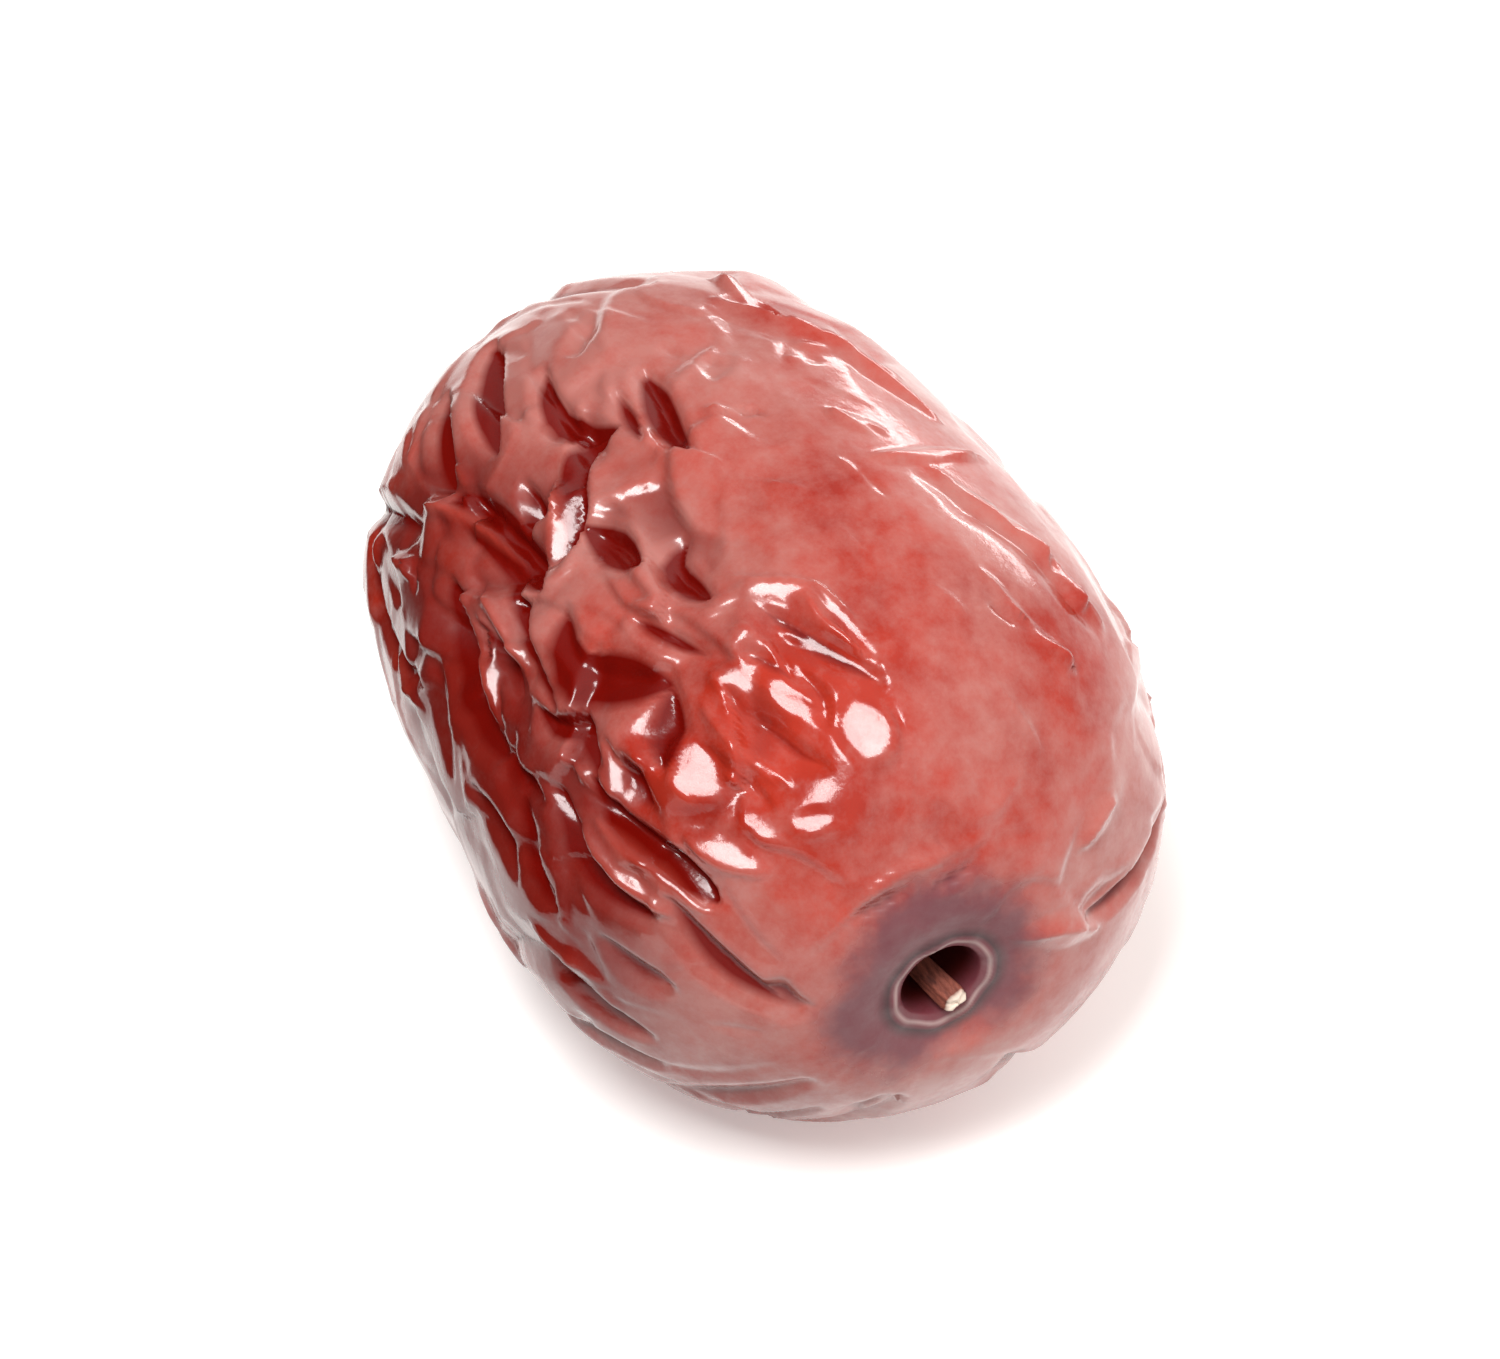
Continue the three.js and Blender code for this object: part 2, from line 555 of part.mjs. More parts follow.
/** The stub: a ribbed rod with a cut end, bent along its own line and grown by a margin. */
function stemStub(margin) {
  const line = new THREE.QuadraticBezierCurve3(
    new THREE.Vector3(...STEM_ROOT),
    new THREE.Vector3(...STEM_BEND),
    new THREE.Vector3(...STEM_TIP),
  );
  const length = line.getLength();
  const profile = [
    [0, -margin],
    [STEM_ROOT_SHARE, -margin],
    ...STEM_OUTLINE,
    ...STEM_TIP_OUTLINE.map(([share, back]) => [share, length - back]),
    [0, length + STEM_TIP_RISE],
  ].map(([share, height]) => new THREE.Vector2(share > 0 ? share * STEM_RADIUS + margin : 0, height));
  const geometry = new THREE.LatheGeometry(profile, STEM_SIDES);
  const places = geometry.attributes.position;
  const point = new THREE.Vector3();
  for (let i = 0; i < places.count; i += 1) {
    const height = places.getY(i);
    const share = clamp(height / length, 0, 1);
    const tangent = line.getTangent(share);
    const side = new THREE.Vector3(0, 0, 1).cross(tangent).normalize();
    const up = side.clone().cross(tangent);
    const rib = 1 + STEM_RIB_HEIGHT * Math.cos(STEM_RIBS * Math.atan2(places.getZ(i), places.getX(i)));
    point.copy(line.getPoint(share));
    point.addScaledVector(side, places.getX(i) * rib);
    point.addScaledVector(up, places.getZ(i) * rib);
    point.addScaledVector(tangent, height - share * length);
    places.setXYZ(i, point.x, point.y, point.z);
  }
  return geometry;
}

/** A mesh of a solid in its own colour. */
function makeMesh(name, solid, color, roughness) {
  const material = new THREE.MeshStandardMaterial({ color, roughness, metalness: 0 });
  const mesh = new THREE.Mesh(toGeometry(solid), material);
  mesh.name = name;
  return mesh;
}

const socket = toSolid(stemStub(STEM_CLEARANCE));
const fruit = makeMesh('fruit', toSolid(fruitBody()).subtract(socket), 0xb03025, 0.35);
const stem = makeMesh('stem', toSolid(stemStub(0)), 0x6b3a2a, 0.8);

const jujube = new THREE.Group();
jujube.add(fruit, stem);
const box = new THREE.Box3().setFromObject(jujube);
const middle = box.getCenter(new THREE.Vector3());
jujube.position.set(-middle.x, -middle.y, -box.min.z);

export default jujube;
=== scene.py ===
"""A dried jujube lying on its side, seen close up in a pale studio.

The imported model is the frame. The fine skin and the fine stem stub stand for
its two nodes, and are shaped from the same sizes and the same folds.
Lengths are in millimetres until a mesh is written, which is in metres.
"""

import logging
import math
from dataclasses import dataclass, field
from enum import Enum

import bmesh
import bpy
import numpy as np
from mathutils import Matrix, Vector


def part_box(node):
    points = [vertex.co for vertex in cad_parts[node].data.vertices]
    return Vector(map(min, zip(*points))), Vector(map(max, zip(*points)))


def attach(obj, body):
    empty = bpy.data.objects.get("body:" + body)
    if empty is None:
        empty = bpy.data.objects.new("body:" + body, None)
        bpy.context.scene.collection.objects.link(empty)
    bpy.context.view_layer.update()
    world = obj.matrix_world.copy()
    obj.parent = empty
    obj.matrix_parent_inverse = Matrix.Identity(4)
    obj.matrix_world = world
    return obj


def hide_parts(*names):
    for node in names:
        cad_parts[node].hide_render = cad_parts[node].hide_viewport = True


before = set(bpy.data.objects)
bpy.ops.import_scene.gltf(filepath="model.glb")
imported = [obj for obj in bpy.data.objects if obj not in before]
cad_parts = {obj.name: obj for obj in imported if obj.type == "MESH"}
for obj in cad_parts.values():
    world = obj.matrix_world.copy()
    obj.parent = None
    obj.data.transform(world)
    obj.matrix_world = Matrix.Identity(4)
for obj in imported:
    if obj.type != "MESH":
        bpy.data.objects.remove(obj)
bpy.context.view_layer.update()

MM = 0.001
log = logging.getLogger("jujube")

# Creases of the seen side, each (half width, depth, places along it), and each place
# is (mm from the middle towards the stem, degrees round from the top)
CREASES = (
    (1.0, 1.0, ((-12.5, 26), (-10, 31), (-7, 38))),
    (0.9, 0.85, ((-9, 21), (-6.5, 23.5), (-5, 20.5), (-4.3, 16))),
    (1.0, 0.9, ((-4.3, 17), (-4.3, 23), (-3.2, 27.5), (-1.5, 32), (-0.7, 40))),
    (0.8, 0.7, ((-5.2, 36), (-3.8, 37), (-3, 42), (-2, 43.5))),
    (0.7, 0.5, ((-5.8, 13), (-4.3, 13.5), (-2.7, 15))),
    (1.0, 0.8, ((-6.2, 6.5), (-4.6, 7), (-2.8, 8.5), (-0.9, 9.5))),
    (1.2, 0.9, ((-1.3, 32), (0.3, 28.5), (2.3, 27.5))),
    (1.0, 0.7, ((2, 18), (2.9, 22.5), (4.3, 22), (5.2, 21))),
    (1.3, 1.1, ((-7.5, 50), (-6.5, 47), (-5, 45), (-3.2, 43.5), (-1.5, 43), (0, 44))),
    (0.7, 0.6, ((-6.3, 51), (-4.6, 49.5), (-2.9, 48), (-1.4, 47.5), (1.2, 51.5), (3.4, 53), (4.8, 55))),
    (1.3, 1.0, ((-4.5, 58), (-3, 60), (-1, 65), (0.8, 69), (3, 69))),
    (0.6, 0.5, ((-2, 56), (0, 57.5), (2, 60))),
    (0.9, 0.85, ((2.8, 57), (4.3, 56), (5.3, 52.5), (6.3, 54), (7.2, 57))),
    (1.9, 0.75, ((1, 42), (3.5, 46), (5.5, 40), (7, 35))),
    (1.6, 0.6, ((6.5, 35), (8.5, 41), (9, 47))),
    (0.8, 0.45, ((6.5, 16), (7.6, 13), (8.8, 10.5), (10.3, 6), (11.2, 2.5))),
    (0.7, 0.5, ((3.6, 34), (4.4, 32.5), (5.9, 29.5), (7, 27))),
    (0.7, 0.35, ((7.6, 22.5), (8.6, 19.5), (9.8, 17))),
    (0.8, 0.6, ((7.3, 50), (8.3, 50.5), (9.6, 53.5))),
    (0.7, 0.35, ((9.3, 29), (10.6, 26), (11.8, 24), (12.6, 21))),
    (0.6, 0.3, ((9.4, 38), (11, 36.5), (12.6, 36))),
    (0.6, 0.3, ((9.2, 16), (10.6, 14.5), (11.6, 17))),
    (1.0, 1.0, ((6.6, 57.5), (8.8, 59), (10.6, 58.5), (12.3, 58.5), (13, 61))),
    (1.0, 1.0, ((5.5, 64), (7.2, 66.5), (8, 69), (9.5, 71), (11.5, 71.5))),
    (0.9, 0.6, ((7, 94.5), (8.2, 96.5), (9.3, 98.5), (10.7, 101), (11.8, 103))),
    (0.9, 0.45, ((9.8, 82), (11.3, 84), (12.7, 85.5))),
    (1.0, 0.6, ((4.2, 70), (5.6, 75), (6.4, 80), (8, 84))),
    (0.9, 0.5, ((2.5, 68), (4, 68.5), (5.8, 67.5))),
    (1.0, 0.5, ((1.5, 80), (3, 79.5), (4.6, 81), (5.5, 86))),
    (1.0, 0.7, ((-12, 41), (-10.2, 44), (-8.7, 48), (-7.5, 50))),
    (0.7, 0.25, ((-9.6, 8.5), (-8.7, 13), (-8.2, 15))),
    (0.5, 0.15, ((-5.4, -3.5), (-4.8, -5.5))),
    (0.5, 0.15, ((-7, 0.5), (-6, -1))),
    (0.8, 0.12, ((-8.5, -12), (-6.2, -18), (-5.2, -22))),
    (
        1.0,
        0.16,
        ((3, -23), (4.1, -27), (5, -29), (5.6, -34), (6.7, -39), (7.9, -42), (8.9, -46), (9.6, -52)),
    ),
    (0.9, 0.12, ((8.6, -24), (9.6, -31), (10.4, -38))),
    (0.45, 0.3, ((15.7, 40), (15.85, 27), (15.9, 16))),
    (0.45, 0.35, ((16.1, 7), (16.05, -4), (15.85, -15))),
    (0.7, 0.5, ((15.9, -86), (15.5, -89), (14.8, -90), (13.5, -89), (12, -87))),
)

# Sharp folds that stand out between them, written the same way
RIDGES = (
    (0.9, 0.5, ((-4, 31), (-2.2, 35), (-1.3, 41))),
    (0.55, 0.45, ((-8.3, 56), (-7.4, 53), (-6.2, 49.5), (-4.2, 47), (-2.2, 45.5))),
    (0.6, 0.45, ((-3.3, 56), (-1.5, 59.5), (0, 62), (1.3, 65))),
    (0.5, 0.4, ((-3, 53), (-1.3, 53), (1.2, 55), (2.6, 56.5))),
    (0.6, 0.4, ((4.8, 17), (6, 12), (6.8, 8), (8.3, 7.5), (9.8, 4), (10.8, 1))),
    (0.55, 0.35, ((8.1, 33), (9.3, 33.5), (10.6, 33), (12, 32))),
    (0.7, 0.3, ((6.8, 54.5), (8.3, 57))),
    (0.6, 0.5, ((7.8, 62), (9.5, 62.5), (11, 62.5), (12.8, 63.5))),
    (0.6, 0.45, ((7.6, 64.5), (9.3, 67), (10.5, 68), (12, 68.5))),
    (0.6, 0.3, ((6.5, 90), (7.9, 92), (9, 91.5), (10.3, 93))),
    (0.55, 0.35, ((-8.4, 68), (-6.4, 65))),
    (0.55, 0.35, ((-7.6, 81), (-5.7, 84), (-3.2, 82.5))),
    (0.6, 0.3, ((-8.4, 45.5), (-7, 46.5))),
    (0.8, 0.45, ((-9, -15), (-7, -22), (-5.5, -28), (-4, -32), (-2.2, -36), (-0.5, -40))),
    (0.7, 0.45, ((2.6, -27), (4.2, -31), (5.2, -34.5), (6.1, -39.5), (7.3, -44), (8.4, -48), (9, -54))),
    (0.5, 0.25, ((7.8, -24), (10.1, -31), (11.6, -39))),
    (0.5, 0.15, ((11.7, -17.5), (13, -24), (13.9, -31))),
    (0.5, 0.15, ((8.2, -13), (9.7, -18))),
    (0.5, 0.2, ((-0.7, -16), (0.7, -24))),
    (0.5, 0.25, ((1.9, -17), (2.1, -29), (1.2, -46))),
    (0.5, 0.15, ((-5, -21), (-4.4, -28.5))),
    (0.5, 0.15, ((1.8, 2), (2.9, -3))),
    (0.55, 0.28, ((15.5, 56), (15.55, 34), (15.6, 12), (15.65, -2), (15.5, -16))),
    (0.9, 0.45, ((16.7, -70), (16.4, -77), (16.1, -85), (15.6, -96))),
    (0.7, 0.4, ((15.4, -58), (14.9, -58), (14.2, -60))),
    (0.7, 0.3, ((11.3, 12), (12, 8.5), (13.2, 6.5))),
    (0.8, 0.3, ((11.5, 51.5), (13, 49.5))),
    (1.2, 0.35, ((9.2, 44), (10.8, 47))),
    (0.8, 0.35, ((7.6, 29), (8.7, 25.5), (9.8, 23), (10.8, 21))),
    (0.45, 0.25, ((8.5, 34), (10.4, 32.5), (12.3, 30))),
)

# Broad swells and dents of the whole form: (x, degrees round, reach, height)
SWELLS = (
    (7.5, 105, 6, 0.45),
    (14.5, -140, 7, 0.5),
    (6.5, 47, 2.2, 0.35),
    (5.5, 38, 3.5, -0.45),
    (-6, 150, 6, -0.7),
    (4, -120, 6, -0.6),
    (-8, -80, 6, -0.5),
    (-10, -150, 5, 0.4),
    (9, 165, 5, 0.3),
    (-2, -30, 6, 0.2),
    (11, 26, 4.5, -0.35),
    (12.2, 13, 1.4, 0.22),
    (10.2, 42, 1.5, 0.25),
    (8.4, 25, 1.3, 0.2),
    (13.4, 32, 1.2, 0.2),
    (12.5, 49, 1.3, 0.2),
)

# Where the skin is buckled more or less: (x, degrees round, reach, change)
BUCKLED_PLACES = (
    (10, -25, 9, -0.9),
    (15, 60, 6, -0.65),
    (15, -120, 7, -0.5),
    (0, -32, 9, -0.7),
    (-11, -15, 6, -0.5),
    (-8, 96, 8, -0.7),
    (5, 110, 8, -0.4),
    (0, 45, 7, 0.35),
    (11.5, 28, 4.5, 0.4),
    (13, 130, 8, -0.65),
    (-15, 35, 6, -0.5),
    (15, -150, 6, -0.45),
    (14, 158, 6, -0.45),
)

# Flat glossy facets: (x, degrees round, half length, half width, degrees that it is turned)
PLATES = (
    (12.2, 10.5, 1.5, 1.15, 9),
    (9.9, 41.8, 1.6, 1.0, -6),
    (8.4, 24.4, 1.35, 0.65, 58),
    (9.9, 20.4, 1.3, 0.6, 12),
    (13.5, 30.8, 1.0, 0.55, 57),
    (12.4, 49.6, 1.8, 0.55, 18),
    (5.8, 20.2, 1.2, 0.4, 94),
    (6.4, 10.7, 1.7, 0.45, 58),
    (8.8, 3.8, 2.1, 0.38, 10),
    (9.1, 9.4, 2.2, 0.3, 36),
    (-1.9, 34.6, 1.9, 0.5, 124),
    (7.5, 53.0, 1.2, 0.38, -29),
    (-0.9, 56.1, 1.9, 0.24, -5),
    (0.3, 61.5, 2.5, 0.22, -36),
    (-6.4, 64.9, 0.8, 0.25, -14),
    (-6.4, 48.3, 0.8, 0.25, -8),
)
# The way that they face
PLATES_FACE = np.array((0.453, -0.329, 0.829))

# Narrow facets along the folds of the smooth side, written the same way
STREAKS = (
    (-8.7, -23.0, 2.1, 0.42, 5),
    (-4.8, -33.5, 2.1, 0.25, 47),
    (-0.1, -19.8, 1.2, 0.25, 40),
    (1.9, -29.9, 2.3, 0.3, 97),
    (4.2, -31.4, 1.3, 0.28, 49),
    (5.9, -39.3, 1.2, 0.33, 39),
    (7.8, -45.1, 1.2, 0.38, 26),
    (10.4, -31.6, 2.1, 0.3, 53),
    (2.9, -13.4, 1.3, 0.22, 20),
    (-2.2, -1.6, 1.1, 0.2, 61),
    (5.6, -5.1, 1.0, 0.2, 4),
    (-0.8, -37.3, 0.8, 0.22, 14),
    (-4.1, -20.3, 0.7, 0.22, 74),
)
# The way that they face
STREAKS_FACE = np.array((0.02, 0.48, 0.877))

# Where the skin is hazier or clearer, its hazy colour being partly a waxy film and partly painted sheen:
# (x, degrees round, reach, change)
HAZE_AND_SHEEN_PLACES = (
    (11, 30, 6.5, -0.5),
    (-7, 25, 6, 0.6),
    (-12, 38, 4, 0.5),
    (1, 45, 5, 0.5),
    (3, 20, 4, 0.3),
    (10, 66, 4, 0.3),
    (2, 92, 6, -0.4),
    (-8, 82, 5, -0.3),
    (15, 175, 5, 0.4),
    (13, 80, 4.5, 0.45),
)

# Where shade is painted darker on the skin, on its -Y side: (x, degrees round, reach, change)
PAINTED_SHADE_PLACES = (
    (3, 82, 6, 0.6),
    (9, 84, 5, 0.5),
    (-8, 64, 4, 0.45),
    (-3, 75, 5, 0.4),
)

# Where no creases are drawn: (x from, x to, degrees from, degrees to)
CALM_PLACES = (
    (-13, 17, -80, 5),
    (-14, 0, 85, 125),
    (4, 17, 5, 45),
    (-4, 9, 165, 180),
    (-4, 9, -180, -165),
)

# The way that the folds lean over
LEAN_TOWARDS = np.array((-0.45, -0.8, -0.4))

# The turn between neighbours that spreads places evenly round the body
GOLDEN_TURN = math.pi * (3 - math.sqrt(5))


class Random:
    """Repeatable draws between two values."""

    FACTOR = 16807
    LIMIT = 2**31 - 1

    def __init__(self, seed: int) -> None:
        """Starts the draws from a seed."""
        self.state = seed

    def __call__(self, low: float, high: float) -> float:
        """Returns the next draw between low and high."""
        self.state = (self.state * self.FACTOR) % self.LIMIT
        return low + (high - low) * (self.state / self.LIMIT)


class End(Enum):
    """The two ends of the fruit."""

    STEM = "stem"
    BLOSSOM = "blossom"


def smoothstep(value: np.ndarray, low: float, high: float) -> np.ndarray:
    """Returns a smooth rise from 0 at low to 1 at high."""
    share = np.clip((value - low) / (high - low), 0.0, 1.0)
    return share * share * (3.0 - 2.0 * share)


def waves_round(turn: np.ndarray, waves: tuple) -> np.ndarray:
    """Returns the sum at these angles of waves round an axis, each (how many, height, start)."""
    return sum(height * np.sin(count * turn + start) for count, height, start in waves)


def spline(places: tuple, steps: int = 3) -> np.ndarray:
    """Draws a smooth line through places.

    Args:
        places: The points that the line goes through, two numbers each.
        steps: How many steps to take between two places.

    Returns:
        The line's points, one row each.
    """
    knots = np.array(places, float)
    padded = np.vstack((knots[:1], knots, knots[-1:]))
    points = []
    for i in range(len(knots) - 1):
        a, b, c, d = padded[i : i + 4]
        for t in np.arange(steps) / steps:
            curve = 2 * a - 5 * b + 4 * c - d + t * (3 * (b - c) + d - a)
            points.append(b + 0.5 * t * (c - a + t * curve))
    points.append(knots[-1])
    return np.array(points)


@dataclass(frozen=True)
class Spindle:
    """The plain body, a blunt spindle round the X axis."""

    half_length: float = 17.0
    half_thickness: float = 12.0
    fatter_at_stem: float = 0.12
    stem_bluntness: float = 2.6
    blossom_bluntness: float = 4.2

    def spread(self, end: End) -> float:
        """Measures the cap at an end.

        Args:
            end: The end.

        Returns:
            The millimetres on the cap for one radian from its pole.
        """
        if end is End.STEM:
            return self.half_thickness * (1 + self.fatter_at_stem) * math.sqrt(self.stem_bluntness / 2)
        return self.half_thickness * (1 - self.fatter_at_stem) * math.sqrt(self.blossom_bluntness / 2)

    def points(self, polar: np.ndarray, turn: np.ndarray) -> np.ndarray:
        """Places points on the body.

        Args:
            polar: Angles from the stem end, in radians.
            turn: Angles round X from the top, in radians.

        Returns:
            The points, one row each.
        """
        along = np.cos(polar)
        bluntness = np.where(along > 0, self.stem_bluntness, self.blossom_bluntness)
        taper = 1 + self.fatter_at_stem * along
        radius = self.half_thickness * taper * np.sqrt(np.maximum(0, 1 - np.abs(along) ** bluntness))
        return np.stack((self.half_length * along, -radius * np.sin(turn), radius * np.cos(turn)), axis=-1)

    def places(self, places: np.ndarray) -> np.ndarray:
        """Returns the points for rows of (mm from the middle, degrees round from the top)."""
        return self.points(np.arccos(places[:, 0] / self.half_length), np.radians(places[:, 1]))

    def place(self, x: float, degrees: float) -> np.ndarray:
        """Returns the point at x mm from the middle and these degrees round from the top."""
        return self.places(np.array(((x, degrees),)))[0]

    def outward(self, points: np.ndarray) -> np.ndarray:
        """Finds the directions in which relief stands out.

        Args:
            points: Points on the body, one row each.

        Returns:
            The unit directions, one row each.
        """
        size = np.array((self.half_length, self.half_thickness, self.half_thickness)) ** 2
        direction = points / size
        return direction / np.linalg.norm(direction, axis=1, keepdims=True)

    def bells(self, points: np.ndarray, places: tuple) -> np.ndarray:
        """Adds up changes that fade out round their places.

        Args:
            points: Points on the body, one row each.
            places: The changes, each (x, degrees round, reach, height).

        Returns:
            The sum at each point.
        """
        total = np.zeros(len(points))
        for x, degrees, reach, height in places:
            distance = np.linalg.norm(points - self.place(x, degrees), axis=1)
            total += height * np.exp(-((distance / reach) ** 2))
        return total


class Waves:
    """A smooth random field: a sum of plane waves of about one length."""

    COUNT = 24
    # How much closer together or further apart the waves are than usual
    SPACINGS = (0.75, 1.3)

    def __init__(self, seed: int, wavelength: float) -> None:
        """Draws the waves.

        Args:
            seed: The seed of the draws.
            wavelength: The waves' usual length in mm.
        """
        draw = Random(seed)
        self.ways = np.zeros((self.COUNT, 3))
        self.phases = np.zeros(self.COUNT)
        for i in range(self.COUNT):
            along = draw(-1, 1)
            turn = draw(0, 2 * math.pi)
            size = 2 * math.pi / wavelength * draw(*self.SPACINGS)
            across = math.sqrt(1 - along * along)
            self.ways[i] = (along * size, across * math.cos(turn) * size, across * math.sin(turn) * size)
            self.phases[i] = draw(0, 2 * math.pi)

    def at(self, points: np.ndarray) -> np.ndarray:
        """Works out the field.

        Args:
            points: Points, one row each.

        Returns:
            The field at each point, mostly between -2 and 2.
        """
        total = np.zeros(len(points))
        for way, phase in zip(self.ways, self.phases):
            total += np.sin(points @ way + phase)
        return total * math.sqrt(2 / self.COUNT)


@dataclass
class Fold:
    """A crease or a ridge along a line on the body, wide in its middle and leaning to one side."""

    half_width: float
    height: float
    line: np.ndarray
    lean: float = 0.5
    narrow_end: float = 0.35
    least: float = 1e-6

    def nearest(self, points: np.ndarray) -> tuple[np.ndarray, np.ndarray, np.ndarray]:
        """Measures points against the fold's line.

        Args:
            points: The points, one row each.

        Returns:
            How far each is from the line, how far along the line that is, from 0 to 1,
            and how much of the way to it is in the way that the folds lean.
        """
        best = np.full(len(points), np.inf)
        along = np.zeros(len(points))
        aside = np.zeros(len(points))
        last = len(self.line) - 1
        for i in range(last):
            span = self.line[i + 1] - self.line[i]
            offset = points - self.line[i]
            share = np.clip(offset @ span / max(span @ span, self.least), 0, 1)
            offset -= share[:, None] * span
            distance = np.linalg.norm(offset, axis=1)
            closer = distance < best
            best[closer] = distance[closer]
            along[closer] = (i + share[closer]) / last
            aside[closer] = (offset[closer] @ LEAN_TOWARDS) / (distance[closer] + self.least)
        return best, along, aside

    def stamp(self, points: np.ndarray, heights: np.ndarray, sharpness: float) -> None:
        """Raises heights to the fold's own, where the fold is the higher.

        Args:
            points: The points, one row each.
            heights: Their heights so far, changed in place.
            sharpness: How sharp the fold's line is.
        """
        middle = self.line.mean(axis=0)
        reach = np.linalg.norm(self.line - middle, axis=1).max() + self.half_width * (1 + self.lean)
        near = np.nonzero(np.linalg.norm(points - middle, axis=1) < reach)[0]
        if not len(near):
            return
        distance, along, aside = self.nearest(points[near])
        swell = np.sin(np.pi * along)
        share = self.narrow_end + (1 - self.narrow_end) * swell
        width = self.half_width * share * (1 + self.lean * aside)
        side = np.clip(1 - distance / width, 0, 1)
        own = self.height * side**sharpness * np.sqrt(swell)
        heights[near] = np.maximum(heights[near], own)


@dataclass
class Facets:
    """Nearly flat patches that the drying skin has buckled into, each tilted its own way."""

    seed: int
    count: int
    tilt: float
    step: float
    sharpness: float
    stretch: float = 1.5
    warp: float = 0.55
    warp_length: float = 7.0
    stray_mm: float = 0.8
    stray_degrees: float = 8.0
    size_change: float = 2.5
    end_gap: float = 0.1
    least_weight: float = 1e-12

    def heights(self, body: Spindle, base: np.ndarray) -> np.ndarray:
        """Works out the patches' heights.

        Args:
            body: The body that they lie on.
            base: Points on it, one row each.

        Returns:
            The height at each point.
        """
        draw = Random(self.seed)
        warp = np.stack([Waves(self.seed + 10 + i, self.warp_length).at(base) for i in range(3)], axis=1)
        places = base + self.warp * warp
        scale = np.array((1 / self.stretch, 1, 1))
        end = body.half_length - self.end_gap
        weights = np.zeros(len(base))
        heights = np.zeros(len(base))
        for i in range(self.count):
            x = body.half_length * (1 - (2 * i + 1) / self.count) + draw(-self.stray_mm, self.stray_mm)
            degrees = math.degrees(i * GOLDEN_TURN) + draw(-self.stray_degrees, self.stray_degrees)
            tilt = np.array([draw(-1, 1) for _ in range(3)]) * self.tilt
            step = draw(-1, 1) * self.step
            size = draw(-self.size_change, self.size_change)
            offset = places - body.place(min(max(x, -end), end), degrees)
            weight = np.exp(-self.sharpness * (((offset * scale) ** 2).sum(axis=1) - size))
            weights += weight
            heights += weight * (step + offset @ tilt)
        return heights / (weights + self.least_weight)


@dataclass
class DrawnCreases:
    """Creases spread evenly over the body from a seed."""

    seed: int
    count: int
    length: tuple[float, float]
    half_width: tuple[float, float]
    depth: tuple[float, float]
    lean: float
    bend: float
    room: float
    ends_free: float = 14.6
    run_out: tuple[float, float] = (1.5, 1.0)

    def is_calm(self, x: float, turn: float) -> bool:
        """Says whether a place is on the smooth shoulder or on the flat spot."""
        from_top = turn - 360 if turn > 180 else turn
        return any(low < x < high and start < from_top < stop for low, high, start, stop in CALM_PLACES)

    def draw(self, body: Spindle, settled: list[Fold]) -> list[Fold]:
        """Draws the creases.

        Args:
            body: The body that they lie on.
            settled: The folds that they keep clear of.

        Returns:
            The drawn creases.
        """
        draw = Random(self.seed)
        drawn = []
        for i in range(self.count):
            x = body.half_length * (1 - (2 * i + 1) / self.count)
            turn = math.degrees((i * GOLDEN_TURN) % (2 * math.pi))
            length = draw(*self.length)
            lean = draw(-self.lean, self.lean)
            bend = draw(-self.bend, self.bend)
            half_width = draw(*self.half_width)
            depth = draw(*self.depth)
            if abs(x) > self.ends_free or self.is_calm(x, turn):
                continue
            middle = body.place(x, turn)
            if any(fold.nearest(middle[None])[0][0] < self.room for fold in settled):
                continue
            step = np.linspace(-0.5, 0.5, 5) * length
            aside = bend * step * step
            at = x + step * math.cos(lean) - aside * math.sin(lean)
            at = np.clip(at, -self.ends_free - self.run_out[0], self.ends_free + self.run_out[1])
            round_x = (step * math.sin(lean) + aside * math.cos(lean)) / math.hypot(middle[1], middle[2])
            line = body.places(spline(np.stack((at, turn + np.degrees(round_x)), axis=1)))
            drawn.append(Fold(half_width, depth, line))
        return drawn


@dataclass
class EndCreases:
    """Creases that run out from an end, spread evenly round it."""

    end: End
    count: int
    start: float
    stop: float
    stray: float = 0.3
    shortest: float = 0.6
    waver: float = 0.05
    half_width: tuple[float, float] = (0.8, 1.1)
    depth: tuple[float, float] = (0.25, 0.5)

    def draw(self, body: Spindle, draw: Random) -> list[Fold]:
        """Draws the creases.

        Args:
            body: The body that they lie on.
            draw: The seeded draws.

        Returns:
            The creases.
        """
        creases = []
        for i in range(self.count):
            turn = (i + draw(-self.stray, self.stray)) / self.count * 2 * math.pi
            reach = self.start + (self.stop - self.start) * draw(self.shortest, 1)
            radii = np.linspace(self.start, reach, 5)
            turns = np.array([turn + draw(-self.waver, self.waver) for _ in radii])
            polar = radii / body.spread(self.end)
            if self.end is End.BLOSSOM:
                polar = math.pi - polar
            creases.append(Fold(draw(*self.half_width), draw(*self.depth), body.points(polar, turns)))
        return creases


